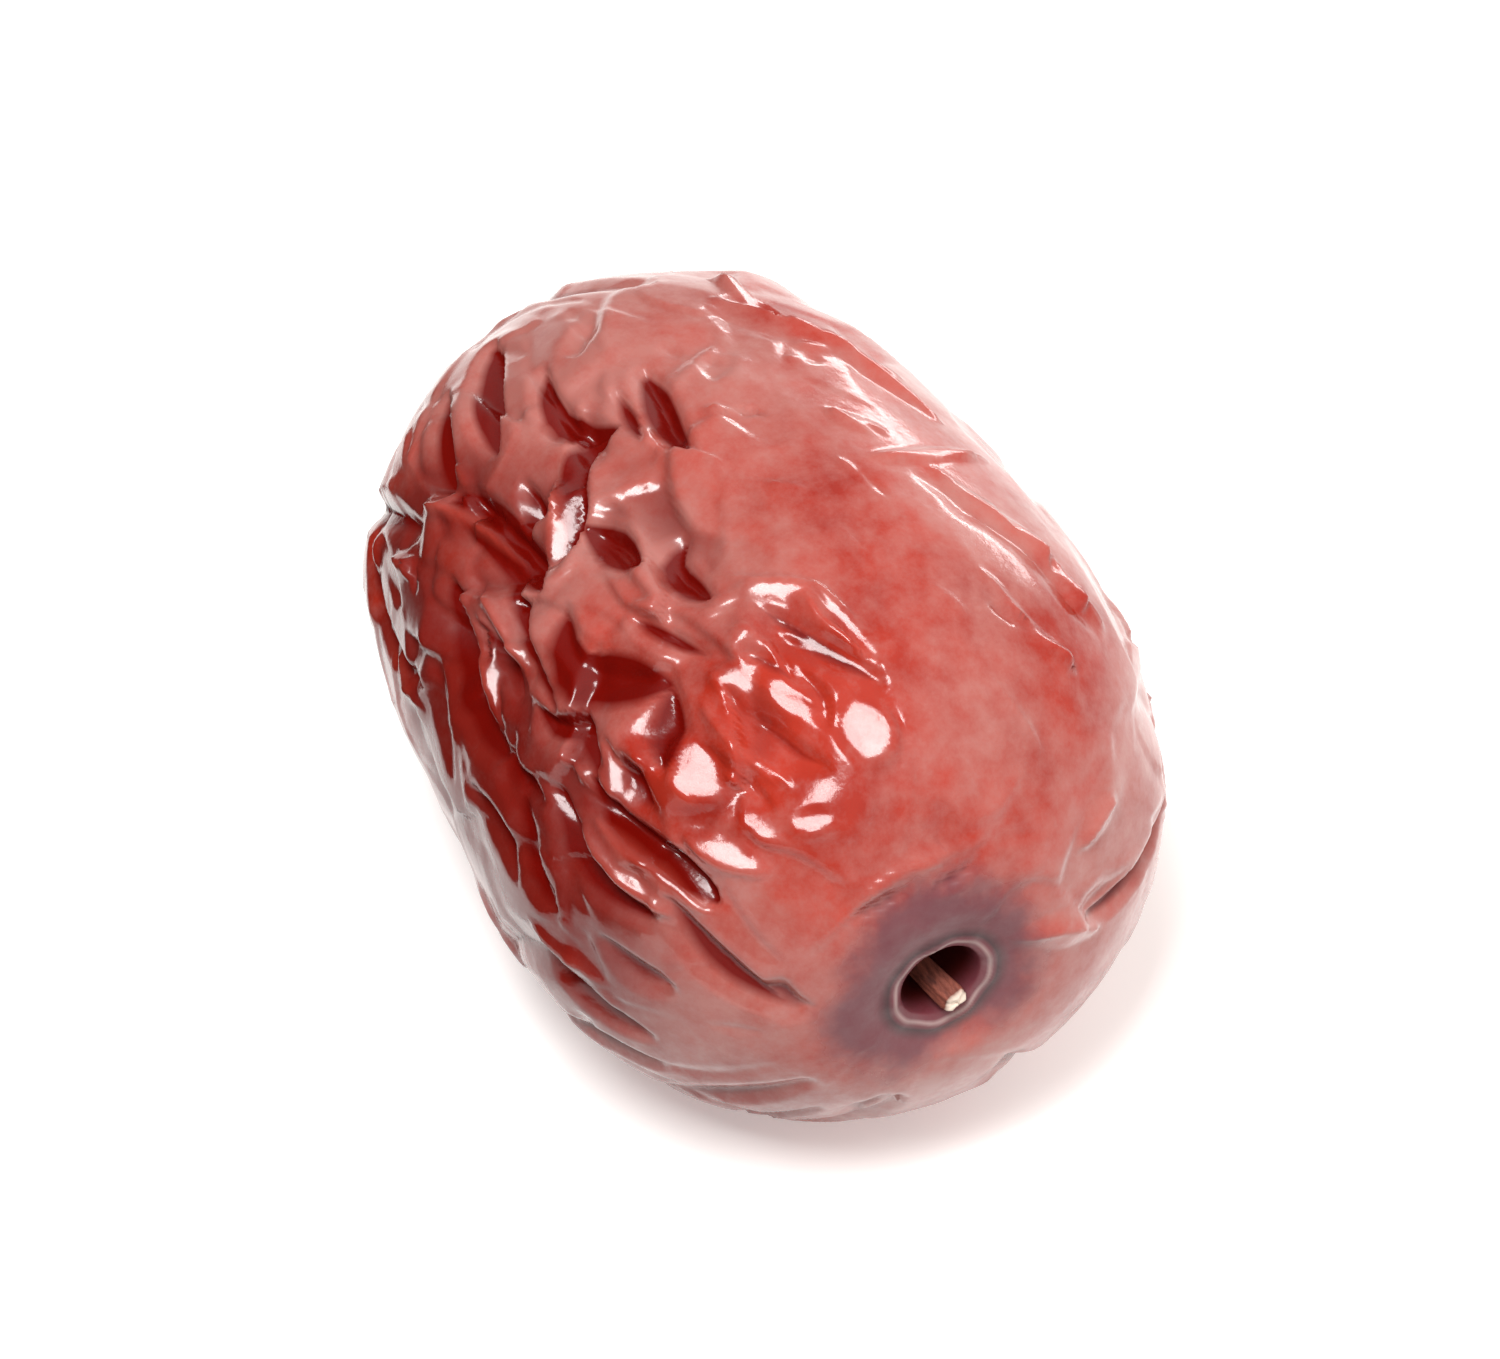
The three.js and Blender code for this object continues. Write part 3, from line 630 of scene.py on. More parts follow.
@dataclass
class GlossyFacet:
    """A flat oval facet of the skin that faces a given way."""

    x: float
    degrees: float
    half_length: float
    half_width: float
    turned: float
    face: np.ndarray
    edge: tuple[float, float] = (0.7, 1.1)
    reach_up: float = 3.0
    deepest: float = 0.45
    flatness: float = 0.9
    least_facing: float = 0.2
    least: float = 1e-6

    def flatten(self, body: Spindle, base: np.ndarray, relief: np.ndarray) -> np.ndarray:
        """Flattens the skin in the facet.

        Args:
            body: The body that it lies on.
            base: Points on the body, one row each.
            relief: The relief at each point so far.

        Returns:
            The relief with the facet in it.
        """
        middle = body.place(self.x, self.degrees)
        up = body.outward(middle[None])[0]
        ahead = np.array((1.0, 0.0, 0.0)) - up[0] * up
        ahead /= np.linalg.norm(ahead)
        aside = np.cross(up, ahead)
        offset = base - middle
        turn = math.radians(self.turned)
        along = offset @ (math.cos(turn) * ahead + math.sin(turn) * aside) / self.half_length
        across = offset @ (math.cos(turn) * aside - math.sin(turn) * ahead) / self.half_width
        high = offset @ up / self.reach_up
        share = 1 - smoothstep(np.sqrt(along**2 + across**2 + high**2), *self.edge)
        level = (share * relief).sum() / max(share.sum(), self.least)
        facing = np.maximum(body.outward(base) @ self.face, self.least_facing)
        plane = (level * (up @ self.face) - offset @ self.face) / facing
        plane = level + np.clip(plane - level, -self.deepest, self.deepest)
        return relief + self.flatness * share * (plane - relief)


@dataclass
class Fruit:
    """Skin and flesh in one piece: the wrinkled body with its hollow, dimple and flat spot."""

    body: Spindle = field(default_factory=Spindle)
    # Each kind of feature draws from the seed and a step of its own
    seed: int = 4127
    cuts: int = 125
    # How far the skin lies above the plain body
    lift: float = 0.25
    # How sharp the creases, the ridges and the fine creases are
    sharpness: tuple[float, float, float] = (1.1, 1.2, 1.2)
    ridge_lean: float = 0.2
    # How strongly the skin is buckled, and the least and most of it
    buckled: float = 0.85
    buckled_limits: tuple[float, float] = (0.05, 1.2)
    # The flat spot that it lies on, and how far round it the skin is smooth
    rest_depth: float = 11.8
    rest_x: float = 2.5
    rest_calm: tuple[float, float] = (4.0, 8.0)
    # The hollow at the stem end, whose middle stands a little off the axis
    hollow_y: float = -0.85
    hollow_radius: float = 1.65
    hollow_floor_radius: float = 1.25
    hollow_depth: float = 3.0
    hollow_waves: tuple = ((2, 0.06, 0.6), (3, 0.05, 2), (5, 0.03, 0))
    hollow_waves_reach: float = 7.0
    # How far out on the plain cap its floor, its wall and the pulled-in skin are drawn from
    floor_share: float = 1.9
    wall_share: float = 5.2
    skin_share: float = 20.0
    far_share: float = 100.0
    funnel_depth: float = 0.95
    funnel_radius: float = 3.4
    rim_radius: float = 2.05
    rim_height: float = 0.2
    rim_width: float = 0.32
    rim_level: float = 0.9
    rim_waves: tuple = ((4, 0.35, 1), (9, 0.25, 0))
    rim_calm: float = 1.5
    # The dimple at the blossom end, with the scar of the flower in it
    dimple_depth: float = 1.1
    dimple_radius: float = 2.6
    scar_height: float = 0.5
    scar_radius: float = 0.7
    # How far the dull zone round the stem end reaches
    halo_reach: float = 4.4
    halo_waves: tuple = ((1, 1.0, math.pi / 2 - 0.7), (3, 0.35, 1), (5, 0.25, 0))
    # The hazy colour of the skin, partly a waxy film and partly painted sheen, how much it varies, and over
    # which stretches it thins out lower down and on the -Y side
    haze_and_sheen: float = 0.5
    haze_and_sheen_change: float = 0.18
    haze_and_sheen_length: float = 7.0
    less_haze_and_sheen_below: float = 0.3
    below: tuple[float, float] = (-1.0, 8.0)
    less_haze_and_sheen_aside: float = 0.35
    aside: tuple[float, float] = (3.0, 9.0)
    off_stem_end: tuple[float, float] = (-15.0, -9.0)

    def folds(self) -> tuple[list[Fold], list[Fold], list[Fold]]:
        """Draws all the folds.

        Returns:
            The main creases, the ridges and the fine creases.
        """
        body = self.body
        draw = Random(self.seed + 1)
        settled = [Fold(w, d, body.places(spline(p))) for w, d, p in CREASES]
        ridges = [Fold(w, h, body.places(spline(p)), self.ridge_lean) for w, h, p in RIDGES]
        long = {"length": (4, 10), "half_width": (0.8, 1.4), "depth": (0.3, 0.6)}
        short = {"length": (1.2, 4), "half_width": (0.4, 0.8), "depth": (0.05, 0.15)}
        main = DrawnCreases(self.seed, 120, lean=0.7, bend=0.08, room=1.8, **long)
        fine = DrawnCreases(self.seed + 2, 250, lean=1.0, bend=0.2, room=0.5, **short)
        creases = settled + main.draw(body, settled)
        creases += EndCreases(End.BLOSSOM, 9, start=1.4, stop=5.5).draw(body, draw)
        creases += EndCreases(End.STEM, 5, start=5.5, stop=9.0).draw(body, draw)
        return creases, ridges, fine.draw(body, settled)

    def buckling(self, base: np.ndarray) -> np.ndarray:
        """Works out how the skin has buckled.

        Args:
            base: Points on the plain body, one row each.

        Returns:
            The height at each point.
        """
        strength = np.clip(self.buckled + self.body.bells(base, BUCKLED_PLACES), *self.buckled_limits)
        broad = Facets(self.seed + 20, 170, tilt=0.27, step=0.12, sharpness=1.5)
        narrow = Facets(self.seed + 21, 520, tilt=0.2, step=0.04, sharpness=4.5)
        return strength * (broad.heights(self.body, base) + narrow.heights(self.body, base))

    def relief(self, base: np.ndarray, from_stem: np.ndarray) -> tuple[np.ndarray, dict[str, np.ndarray]]:
        """Works out how far the skin stands out from the plain body.

        Args:
            base: Points on the plain body, one row each.
            from_stem: How far each is from the stem end.

        Returns:
            The relief at each point, and its named parts for the finish.
        """
        body = self.body
        crease, ridge, line = heights = np.zeros((3, len(base)))
        for folds, stamped, sharpness in zip(self.folds(), heights, self.sharpness):
            for fold in folds:
                fold.stamp(base, stamped, sharpness)
        facets = self.buckling(base)
        swell = body.bells(base, SWELLS)
        rest = np.array((self.rest_x, 0, -body.half_thickness))
        calm = smoothstep(from_stem, self.rim_radius, self.rim_radius + self.rim_calm)
        calm *= smoothstep(np.linalg.norm(base - rest, axis=1), *self.rest_calm)
        relief = (swell - crease + ridge - line + facets + self.lift) * calm
        for rows, face in ((PLATES, PLATES_FACE), (STREAKS, STREAKS_FACE)):
            for row in rows:
                relief = GlossyFacet(*row, face).flatten(body, base, relief)
        # The low value paints shade into the facets' hollows and at the places of painted shade
        low = body.bells(base, PAINTED_SHADE_PLACES) - np.minimum(facets, 0)
        # The crease value paints shade into the creases, and the ridge value paints highlights on the
        # crests
        return relief, {"crease": (crease + line) * calm, "low": low * calm, "ridge": ridge * calm}

    def haze_and_sheen_over(self, base: np.ndarray) -> np.ndarray:
        """Works out how hazy the skin is, the hazy colour being partly a waxy film and partly painted
        sheen, less lower down and on the -Y side.

        Args:
            base: Points on the plain body, one row each.

        Returns:
            How hazy each point is, partly painted sheen, from 0 to 1.
        """
        haze_and_sheen = self.haze_and_sheen + self.haze_and_sheen_change * Waves(self.seed + 40, self.haze_and_sheen_length).at(base)
        haze_and_sheen += self.body.bells(base, HAZE_AND_SHEEN_PLACES)
        haze_and_sheen -= self.less_haze_and_sheen_below * smoothstep(-base[:, 2], *self.below)
        beside = smoothstep(-base[:, 1], *self.aside) * smoothstep(-base[:, 0], *self.off_stem_end)
        return np.clip(haze_and_sheen - self.less_haze_and_sheen_aside * beside, 0, 1)

    def hollow_profile(self, distance: np.ndarray) -> np.ndarray:
        """Maps the plain cap on to the hollow's floor, its wall and the skin round it.

        Args:
            distance: Distances from the stem end on the plain cap.

        Returns:
            The distances from the stem end that they are drawn at.
        """
        marks = (0, self.floor_share, self.wall_share, self.skin_share, self.far_share)
        radii = (0, self.hollow_floor_radius, self.hollow_radius, self.skin_share, self.far_share)
        return np.interp(distance, marks, radii)

    def shape(self, directions: np.ndarray) -> tuple[np.ndarray, dict[str, np.ndarray]]:
        """Works out the skin for directions out of the middle.

        Args:
            directions: Unit vectors, one row each.

        Returns:
            The skin's points, and named values for the finish, one for each point.
        """
        body = self.body
        cap = body.spread(End.STEM)
        turn = np.arctan2(-directions[:, 1], directions[:, 2])
        distance = np.arccos(np.clip(directions[:, 0], -1, 1)) * cap
        fade = np.exp(-((distance / self.hollow_waves_reach) ** 2))
        distance *= 1 + waves_round(turn, self.hollow_waves) * fade
        from_stem = self.hollow_profile(distance)
        polar = from_stem / cap
        from_blossom = (math.pi - polar) * body.spread(End.BLOSSOM)
        base = body.points(polar, turn)
        relief, values = self.relief(base, from_stem)
        points = base + body.outward(base) * relief[:, None]

        wall = 1 - smoothstep(distance, self.floor_share, self.wall_share)
        rim = np.exp(-(((from_stem - self.rim_radius) / self.rim_width) ** 2))
        rim *= self.rim_level + waves_round(turn, self.rim_waves)
        funnel = self.funnel_depth * np.exp(-((from_stem / self.funnel_radius) ** 2))
        dimple = self.dimple_depth * np.exp(-((from_blossom / self.dimple_radius) ** 2))
        scar = self.scar_height * np.exp(-((from_blossom / self.scar_radius) ** 2))
        points[:, 0] += self.rim_height * rim - funnel - wall * self.hollow_depth + dimple - scar
        points[:, 1] += self.hollow_y * (1 - smoothstep(from_stem, self.rim_radius, body.half_thickness))
        points[:, 2] = np.maximum(points[:, 2], -self.rest_depth)
        # How hazy the colour is, partly a waxy film and partly painted sheen
        values["sheen_and_bloom"] = self.haze_and_sheen_over(base)
        values["halo"] = from_stem - self.halo_reach - waves_round(turn, self.halo_waves)
        values["from_stem"] = from_stem
        # The wall value also paints shade within the stem hollow
        values["wall"] = wall
        return points, values

    def build(self) -> bpy.types.Object:
        """Builds the skin from a cube that is divided evenly and blown up.

        Returns:
            The skin.
        """
        mesh = bmesh.new()
        bmesh.ops.create_cube(mesh, size=2)
        bmesh.ops.subdivide_edges(mesh, edges=mesh.edges[:], cuts=self.cuts, use_grid_fill=True)
        data, places = write_mesh(mesh, "jujube_skin")
        cube = np.tan(places * math.pi / 4)
        points, values = self.shape(cube / np.linalg.norm(cube, axis=1, keepdims=True))
        low, high = (np.array(corner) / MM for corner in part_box("fruit"))
        shift = (low + high) / 2 - (points.min(axis=0) + points.max(axis=0)) / 2
        shift[2] = low[2] - points[:, 2].min()
        return make_piece(data, points + shift, values)


def write_mesh(mesh: bmesh.types.BMesh, name: str) -> tuple[bpy.types.Mesh, np.ndarray]:
    """Writes a bmesh out and frees it.

    Args:
        mesh: The bmesh.
        name: The name of the mesh that it becomes.

    Returns:
        The mesh, and its vertices' places, one row each.
    """
    data = bpy.data.meshes.new(name)
    mesh.to_mesh(data)
    mesh.free()
    places = np.empty(len(data.vertices) * 3, np.float32)
    data.vertices.foreach_get("co", places)
    return data, places.reshape(-1, 3).astype(float)


def add_object(data: bpy.types.ID) -> bpy.types.Object:
    """Puts a mesh, lamp or camera in the scene under its own name.

    Args:
        data: The mesh, lamp or camera.

    Returns:
        Its object.
    """
    thing = bpy.data.objects.new(data.name, data)
    bpy.context.scene.collection.objects.link(thing)
    return thing


def make_piece(data: bpy.types.Mesh, points: np.ndarray, values: dict[str, np.ndarray]) -> bpy.types.Object:
    """Moves a mesh's vertices to their places and makes it a piece.

    Args:
        data: The mesh.
        points: The places in mm, one row each.
        values: Named values for the finish, one for each vertex.

    Returns:
        The piece.
    """
    data.vertices.foreach_set("co", (points * MM).astype(np.float32).ravel())
    for name, numbers in values.items():
        attribute = data.attributes.new(name, "FLOAT", "POINT")
        attribute.data.foreach_set("value", numbers.astype(np.float32))
    data.shade_smooth()
    data.update()
    log.info("%s: %d vertices", data.name, len(data.vertices))
    return add_object(data)


def linear(colour: str) -> tuple[float, float, float, float]:
    """Turns an sRGB hex colour into linear RGBA."""
    shares = [int(colour[i : i + 2], 16) / 255 for i in (1, 3, 5)]
    return (*(s / 12.92 if s <= 0.04045 else ((s + 0.055) / 1.055) ** 2.4 for s in shares), 1.0)


def add_node(
    tree: bpy.types.NodeTree, kind: str, inputs: dict | None = None, stops: tuple = (), **settings: object
) -> bpy.types.Node:
    """Adds a node with its settings and links.

    Args:
        tree: The tree that it joins.
        kind: The node's type name.
        inputs: Its inputs by name or number, each a value or a socket to link from.
        stops: Colour ramp stops, each (position, hex colour).
        **settings: The node's own properties.

    Returns:
        The node.
    """
    node = tree.nodes.new(kind)
    for name, value in settings.items():
        setattr(node, name, value)
    for key, value in (inputs or {}).items():
        if isinstance(value, bpy.types.NodeSocket):
            tree.links.new(value, node.inputs[key])
        else:
            node.inputs[key].default_value = value
    for i, (position, colour) in enumerate(stops):
        element = node.color_ramp.elements[i] if i < 2 else node.color_ramp.elements.new(position)
        element.position = position
        element.color = linear(colour)
    return node


def start_material(name: str) -> tuple[bpy.types.Material, bpy.types.NodeTree]:
    """Starts a material.

    Args:
        name: Its name.

    Returns:
        The material and its empty tree.
    """
    material = bpy.data.materials.new(name)
    material.use_nodes = True
    material.node_tree.nodes.clear()
    return material, material.node_tree


@dataclass(frozen=True)
class SkinFinish:
    """Dried jujube skin: a thin glossy cuticle over dark red flesh that has shrunk as it dried."""

    # The eye sees sharp reflections over deep red, paler and milky where the skin is hazy, partly a waxy
    # film and partly painted sheen; the finish also paints shade into the creases, the hollows, the -Y side
    # and the stem hollow, and highlights on the crests
    deep: str = "#8e2015"
    middle: str = "#a12b1c"
    bright: str = "#b23626"
    # Hazy colour: partly a waxy film and partly painted sheen
    dust_and_sheen_colour: str = "#a9655d"
    # Painted shade in the facets' hollows and on the -Y side
    low: str = "#6a1410"
    # Painted shade in the creases
    painted_crease_shade: str = "#6a0803"
    # Painted highlight on the crests
    fold: str = "#b5483a"
    halo: str = "#5a2c38"
    outline: str = "#2a1014"
    rim: str = "#b39a96"
    # Painted shade within the stem hollow
    painted_hollow_shade: str = "#4c100e"
    # Patterns: (name, size in mm, detail, roughness)
    patterns: tuple = (
        ("blotch", 5.0, 3.0, 0.6),
        ("dust_and_sheen", 1.2, 5.0, 0.65),
        ("ragged", 2.0, 4.0, 0.6),
        ("pores", 0.5, 3.0, 0.55),
    )
    # How much of its own colour each of the skin's values shows: (value, none from, most from, most)
    shares: tuple = (
        # Painted shade in the facets' hollows and on the -Y side
        ("low", 0.15, 0.6, 0.8),
        # Painted shade in the creases
        ("crease", 0.22, 0.4, 1.0),
        # Painted highlight on the crests
        ("ridge", 0.1, 0.5, 0.5),
        # Painted shade within the stem hollow
        ("wall", 0.02, 0.3, 1.0),
    )
    # Rings round the hollow: (name, mm from its middle to the inner edge, middle and outer edge, strength)
    rings: tuple = (
        ("rim", 1.825, 1.95, 2.1, "#d8d8d8"),
        ("outline", 2.1, 2.275, 2.7, "#f0f0f0"),
    )
    ring_reach: float = 5.0
    halo_most: float = 0.85
    halo_fade: tuple[float, float] = (2.4, 0.2)
    halo_ragged: float = 3.0
    dust_contrast: float = 1.6
    pore_depth: float = 0.06

    def make(self) -> bpy.types.Material:
        """Makes the material.

        Returns:
            The material.
        """
        material, tree = start_material("dried_jujube_skin")
        coords = add_node(tree, "ShaderNodeTexCoord").outputs["Object"]
        noise = {}
        for name, size, detail, roughness in self.patterns:
            inputs = {"Vector": coords, "Scale": 1 / (size * MM), "Detail": detail, "Roughness": roughness}
            noise[name] = add_node(tree, "ShaderNodeTexNoise", inputs).outputs["Fac"]
        value = {}
        for name in ("low", "crease", "ridge", "wall", "sheen_and_bloom", "halo", "from_stem"):
            value[name] = add_node(tree, "ShaderNodeAttribute", attribute_name=name).outputs["Fac"]
        share = {}
        for name, none_from, most_from, most in self.shares:
            inputs = {"Value": value[name], "From Min": none_from, "From Max": most_from, "To Max": most}
            share[name] = add_node(tree, "ShaderNodeMapRange", inputs).outputs["Result"]
        inputs = {0: value["from_stem"], 1: 1 / self.ring_reach}
        near = add_node(tree, "ShaderNodeMath", inputs, operation="MULTIPLY").outputs["Value"]
        for name, inner, middle, outer, strength in self.rings:
            places = (inner / self.ring_reach, outer / self.ring_reach, middle / self.ring_reach)
            stops = tuple(zip(places, ("#000000", "#000000", strength)))
            share[name] = add_node(tree, "ShaderNodeValToRGB", {"Fac": near}, stops).outputs["Color"]
        # The hazy share, partly a waxy film and partly painted sheen, made patchy by noise
        inputs = {0: noise["dust_and_sheen"], 1: self.dust_contrast, 2: -self.dust_contrast / 2}
        dust_and_sheen = add_node(tree, "ShaderNodeMath", inputs, operation="MULTIPLY_ADD").outputs["Value"]
        inputs = {0: dust_and_sheen, 1: value["sheen_and_bloom"]}
        dust_and_sheen = add_node(tree, "ShaderNodeMath", inputs, operation="ADD", use_clamp=True)
        share["dust_and_sheen"] = dust_and_sheen.outputs["Value"]
        inputs = {0: noise["ragged"], 1: self.halo_ragged, 2: value["halo"]}
        edge = add_node(tree, "ShaderNodeMath", inputs, operation="MULTIPLY_ADD").outputs["Value"]
        none_from, most_from = self.halo_fade
        inputs = {"Value": edge, "From Min": most_from, "From Max": none_from}
        inputs |= {"To Min": self.halo_most, "To Max": 0.0}
        halo = add_node(tree, "ShaderNodeMapRange", inputs, interpolation_type="SMOOTHSTEP")
        share["halo"] = halo.outputs["Result"]

        stops = ((0.3, self.deep), (0.7, self.bright), (0.5, self.middle))
        colour = add_node(tree, "ShaderNodeValToRGB", {"Fac": noise["blotch"]}, stops).outputs["Color"]
        layers = {
            # Partly a waxy film and partly painted sheen
            "dust_and_sheen": self.dust_and_sheen_colour,
            # Painted shade in the facets' hollows and on the -Y side
            "low": self.low,
            # Painted shade in the creases
            "crease": self.painted_crease_shade,
            # Painted highlight on the crests
            "ridge": self.fold,
            "halo": self.halo,
            "outline": self.outline,
            "rim": self.rim,
            # Painted shade within the stem hollow
            "wall": self.painted_hollow_shade,
        }
        for name, layer in layers.items():
            inputs = {0: share[name], 6: colour, 7: linear(layer)}
            colour = add_node(tree, "ShaderNodeMix", inputs, data_type="RGBA").outputs[2]

        inputs = {"Value": share["halo"], "From Max": self.halo_most, "To Min": 0.17, "To Max": 0.5}
        dull = add_node(tree, "ShaderNodeMapRange", inputs).outputs["Result"]
        inputs = {"Value": share["crease"], "To Min": 0.6, "To Max": 0.1}
        flat = add_node(tree, "ShaderNodeMapRange", inputs).outputs["Result"]
        inputs = {"Value": share["dust_and_sheen"], "To Min": 0.1, "To Max": 1.0}
        hazy = add_node(tree, "ShaderNodeMapRange", inputs).outputs["Result"]
        inputs = {0: flat, 1: hazy}
        wax = add_node(tree, "ShaderNodeMath", inputs, operation="MULTIPLY").outputs["Value"]
        inputs = {"Height": noise["pores"], "Strength": 0.25, "Distance": self.pore_depth * MM}
        bump = add_node(tree, "ShaderNodeBump", inputs).outputs["Normal"]
        shader = add_node(
            tree,
            "ShaderNodeBsdfPrincipled",
            {
                "Base Color": colour,
                "Roughness": dull,
                "IOR": 1.4,
                "Normal": bump,
                "Specular IOR Level": 0.45,
                "Subsurface Weight": 0.1,
                "Subsurface Radius": (1.0, 0.25, 0.15),
                "Subsurface Scale": 0.8 * MM,
                "Coat Weight": wax,
                "Coat Roughness": 0.35,
                "Coat IOR": 1.5,
            },
        )
        add_node(tree, "ShaderNodeOutputMaterial", {"Surface": shader.outputs["BSDF"]})
        return material


@dataclass(frozen=True)
class StalkFinish:
    """Dry jujube stalk: brown ribbed bark round a pale core that shows at the cut, whose colour there is
    partly a painted highlight.
    """

    # The eye sees dull brown streaks along the stalk, and a pale end, partly the cut and partly a painted
    # highlight
    bark_dark: str = "#4a1c14"
    bark_light: str = "#8f4c3c"
    cut_wood_and_highlight: str = "#f0dccb"
    fibre_width: float = 0.25
    fibre_stretch: float = 4.0
    fibre_depth: float = 0.08

    def make(self) -> bpy.types.Material:
        """Makes the material.

        Returns:
            The material.
        """
        material, tree = start_material("dry_stalk")
        coords = add_node(tree, "ShaderNodeTexCoord").outputs["Object"]
        inputs = {"Vector": coords, "Scale": (1 / self.fibre_stretch, 1.0, 1.0)}
        along = add_node(tree, "ShaderNodeMapping", inputs).outputs["Vector"]
        inputs = {"Vector": along, "Scale": 1 / (self.fibre_width * MM), "Detail": 4.0, "Roughness": 0.65}
        fibres = add_node(tree, "ShaderNodeTexNoise", inputs).outputs["Fac"]
        stops = ((0.3, self.bark_dark), (0.68, self.bark_light))
        bark = add_node(tree, "ShaderNodeValToRGB", {"Fac": fibres}, stops).outputs["Color"]
        cut = add_node(tree, "ShaderNodeAttribute", attribute_name="cut").outputs["Fac"]
        # The cut end takes the pale colour, which is partly a painted highlight
        inputs = {0: cut, 6: bark, 7: linear(self.cut_wood_and_highlight)}
        colour = add_node(tree, "ShaderNodeMix", inputs, data_type="RGBA").outputs[2]
        inputs = {"Height": fibres, "Strength": 0.6, "Distance": self.fibre_depth * MM}
        bump = add_node(tree, "ShaderNodeBump", inputs).outputs["Normal"]
        inputs = {"Base Color": colour, "Roughness": 0.75, "IOR": 1.45, "Normal": bump}
        shader = add_node(tree, "ShaderNodeBsdfPrincipled", inputs)
        add_node(tree, "ShaderNodeOutputMaterial", {"Surface": shader.outputs["BSDF"]})
        return material


@dataclass(frozen=True)
class PaperFinish:
    """Studio paper or card: rolled fibres, matt, with a little glow of its own where it is a floor."""

    # The eye sees an even tone with no gloss
    name: str
    colour: str
    glow: float = 0.0

    def make(self) -> bpy.types.Material:
        """Makes the material.

        Returns:
            The material.
        """
        material, tree = start_material(self.name)
        inputs = {"Base Color": linear(self.colour), "Roughness": 0.9, "Emission Strength": self.glow}
        shader = add_node(tree, "ShaderNodeBsdfPrincipled", inputs)
        add_node(tree, "ShaderNodeOutputMaterial", {"Surface": shader.outputs["BSDF"]})
        return material


@dataclass
class StemStub:
    """The dry stub of the stem, a ribbed rod with a cut end."""

    root: tuple[float, float, float] = (12.4, -1.25, -0.5)
    bend: tuple[float, float, float] = (14.4, -0.95, -0.6)
    tip: tuple[float, float, float] = (16.7, -0.35, -0.95)
    radius: float = 0.5
    sides: int = 64
    rings: int = 60
    # Its outline: (mm from the root, share of the radius), then (mm back from the tip, share)
    outline: tuple = ((0, 0.8), (0.5, 1.15), (1.4, 1.0), (2.4, 0.94), (3.4, 1.0))
    tip_outline: tuple = ((0.3, 1.04), (0.08, 0.94), (0, 0.74))
    tip_rise: float = 0.05
    # Its ribs: (how many, height as a share of the radius, turn for each mm)
    ribs: tuple = ((5, 0.07, 0.2), (13, 0.035, -0.5))
    ragged: float = 0.05
    ragged_waves: tuple = ((3, 1.0, math.pi / 2 + 1),)
    ragged_from: float = 0.2
    cut_rings: int = 6
    cut_rise: float = 0.04
    cut_shows: tuple[float, float] = (0.14, 0.02)

    def line(self, share: np.ndarray) -> tuple[np.ndarray, np.ndarray]:
        """Follows the middle line.

        Args:
            share: Shares of its length.

        Returns:
            The line's points and its unit directions there, one row each.
        """
        root, bend, tip = (np.array(p) for p in (self.root, self.bend, self.tip))
        t = share[:, None]
        way = (1 - t) * (bend - root) + t * (tip - bend)
        points = (1 - t) ** 2 * root + 2 * t * (1 - t) * bend + t**2 * tip
        return points, way / np.linalg.norm(way, axis=1, keepdims=True)

    def rod(self, length: float) -> tuple[bpy.types.Mesh, np.ndarray]:
        """Spins the outline into a straight rod that stands on its root.

        Args:
            length: The rod's length.

        Returns:
            The rod, and its vertices' places, one row each.
        """
        heights = np.linspace(0, length, self.rings)
        marks = [mark for mark, _ in self.outline] + [length - mark for mark, _ in self.tip_outline]
        widths = [width for _, width in self.outline + self.tip_outline]
        radii = np.interp(heights, marks, widths) * self.radius
        inward = np.arange(1, self.cut_rings) / self.cut_rings
        cut = zip(radii[-1] * (1 - inward), length + self.cut_rise * inward)
        profile = [(0.0, 0.0), *zip(radii, heights), *cut, (0.0, length + self.tip_rise)]
        mesh = bmesh.new()
        verts = [mesh.verts.new((r, 0, h)) for r, h in profile]
        edges = [mesh.edges.new(pair) for pair in zip(verts, verts[1:])]
        full = {"cent": (0, 0, 0), "axis": (0, 0, 1), "angle": 2 * math.pi, "use_merge": True}
        bmesh.ops.spin(mesh, geom=verts + edges, steps=self.sides, **full)
        bmesh.ops.remove_doubles(mesh, verts=mesh.verts[:], dist=1e-4)
        bmesh.ops.recalc_face_normals(mesh, faces=mesh.faces[:])
        return write_mesh(mesh, "stem_stub")

    def build(self) -> bpy.types.Object:
        """Makes the rod, ribs it and bends it along its line.

        Returns:
            The stub.
        """
        line = self.line(np.linspace(0, 1, 50))[0]
        length = float(np.linalg.norm(np.diff(line, axis=0), axis=1).sum())
        data, places = self.rod(length)
        x, y, height = places.T
        turn = np.arctan2(y, x)
        rib = 1 + sum(high * np.cos(count * turn + twist * height) for count, high, twist in self.ribs)
        ragged = self.ragged * waves_round(turn, self.ragged_waves)
        ragged *= smoothstep(height, length - self.ragged_from, length)
        share = np.clip(height / length, 0, 1)
        middle, ahead = self.line(share)
        side = np.cross((0, 0, 1), ahead)
        side /= np.linalg.norm(side, axis=1, keepdims=True)
        up = np.cross(ahead, side)
        points = middle + ahead * (height - share * length + ragged)[:, None]
        points += side * (x * rib)[:, None] + up * (y * rib)[:, None]
        low, high = (np.array(corner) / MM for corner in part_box("stem"))
        points += (low + high) / 2 - (points.min(axis=0) + points.max(axis=0)) / 2
        none_from, most_from = (length - mark for mark in self.cut_shows)
        return make_piece(data, points, {"cut": smoothstep(height, none_from, most_from)})


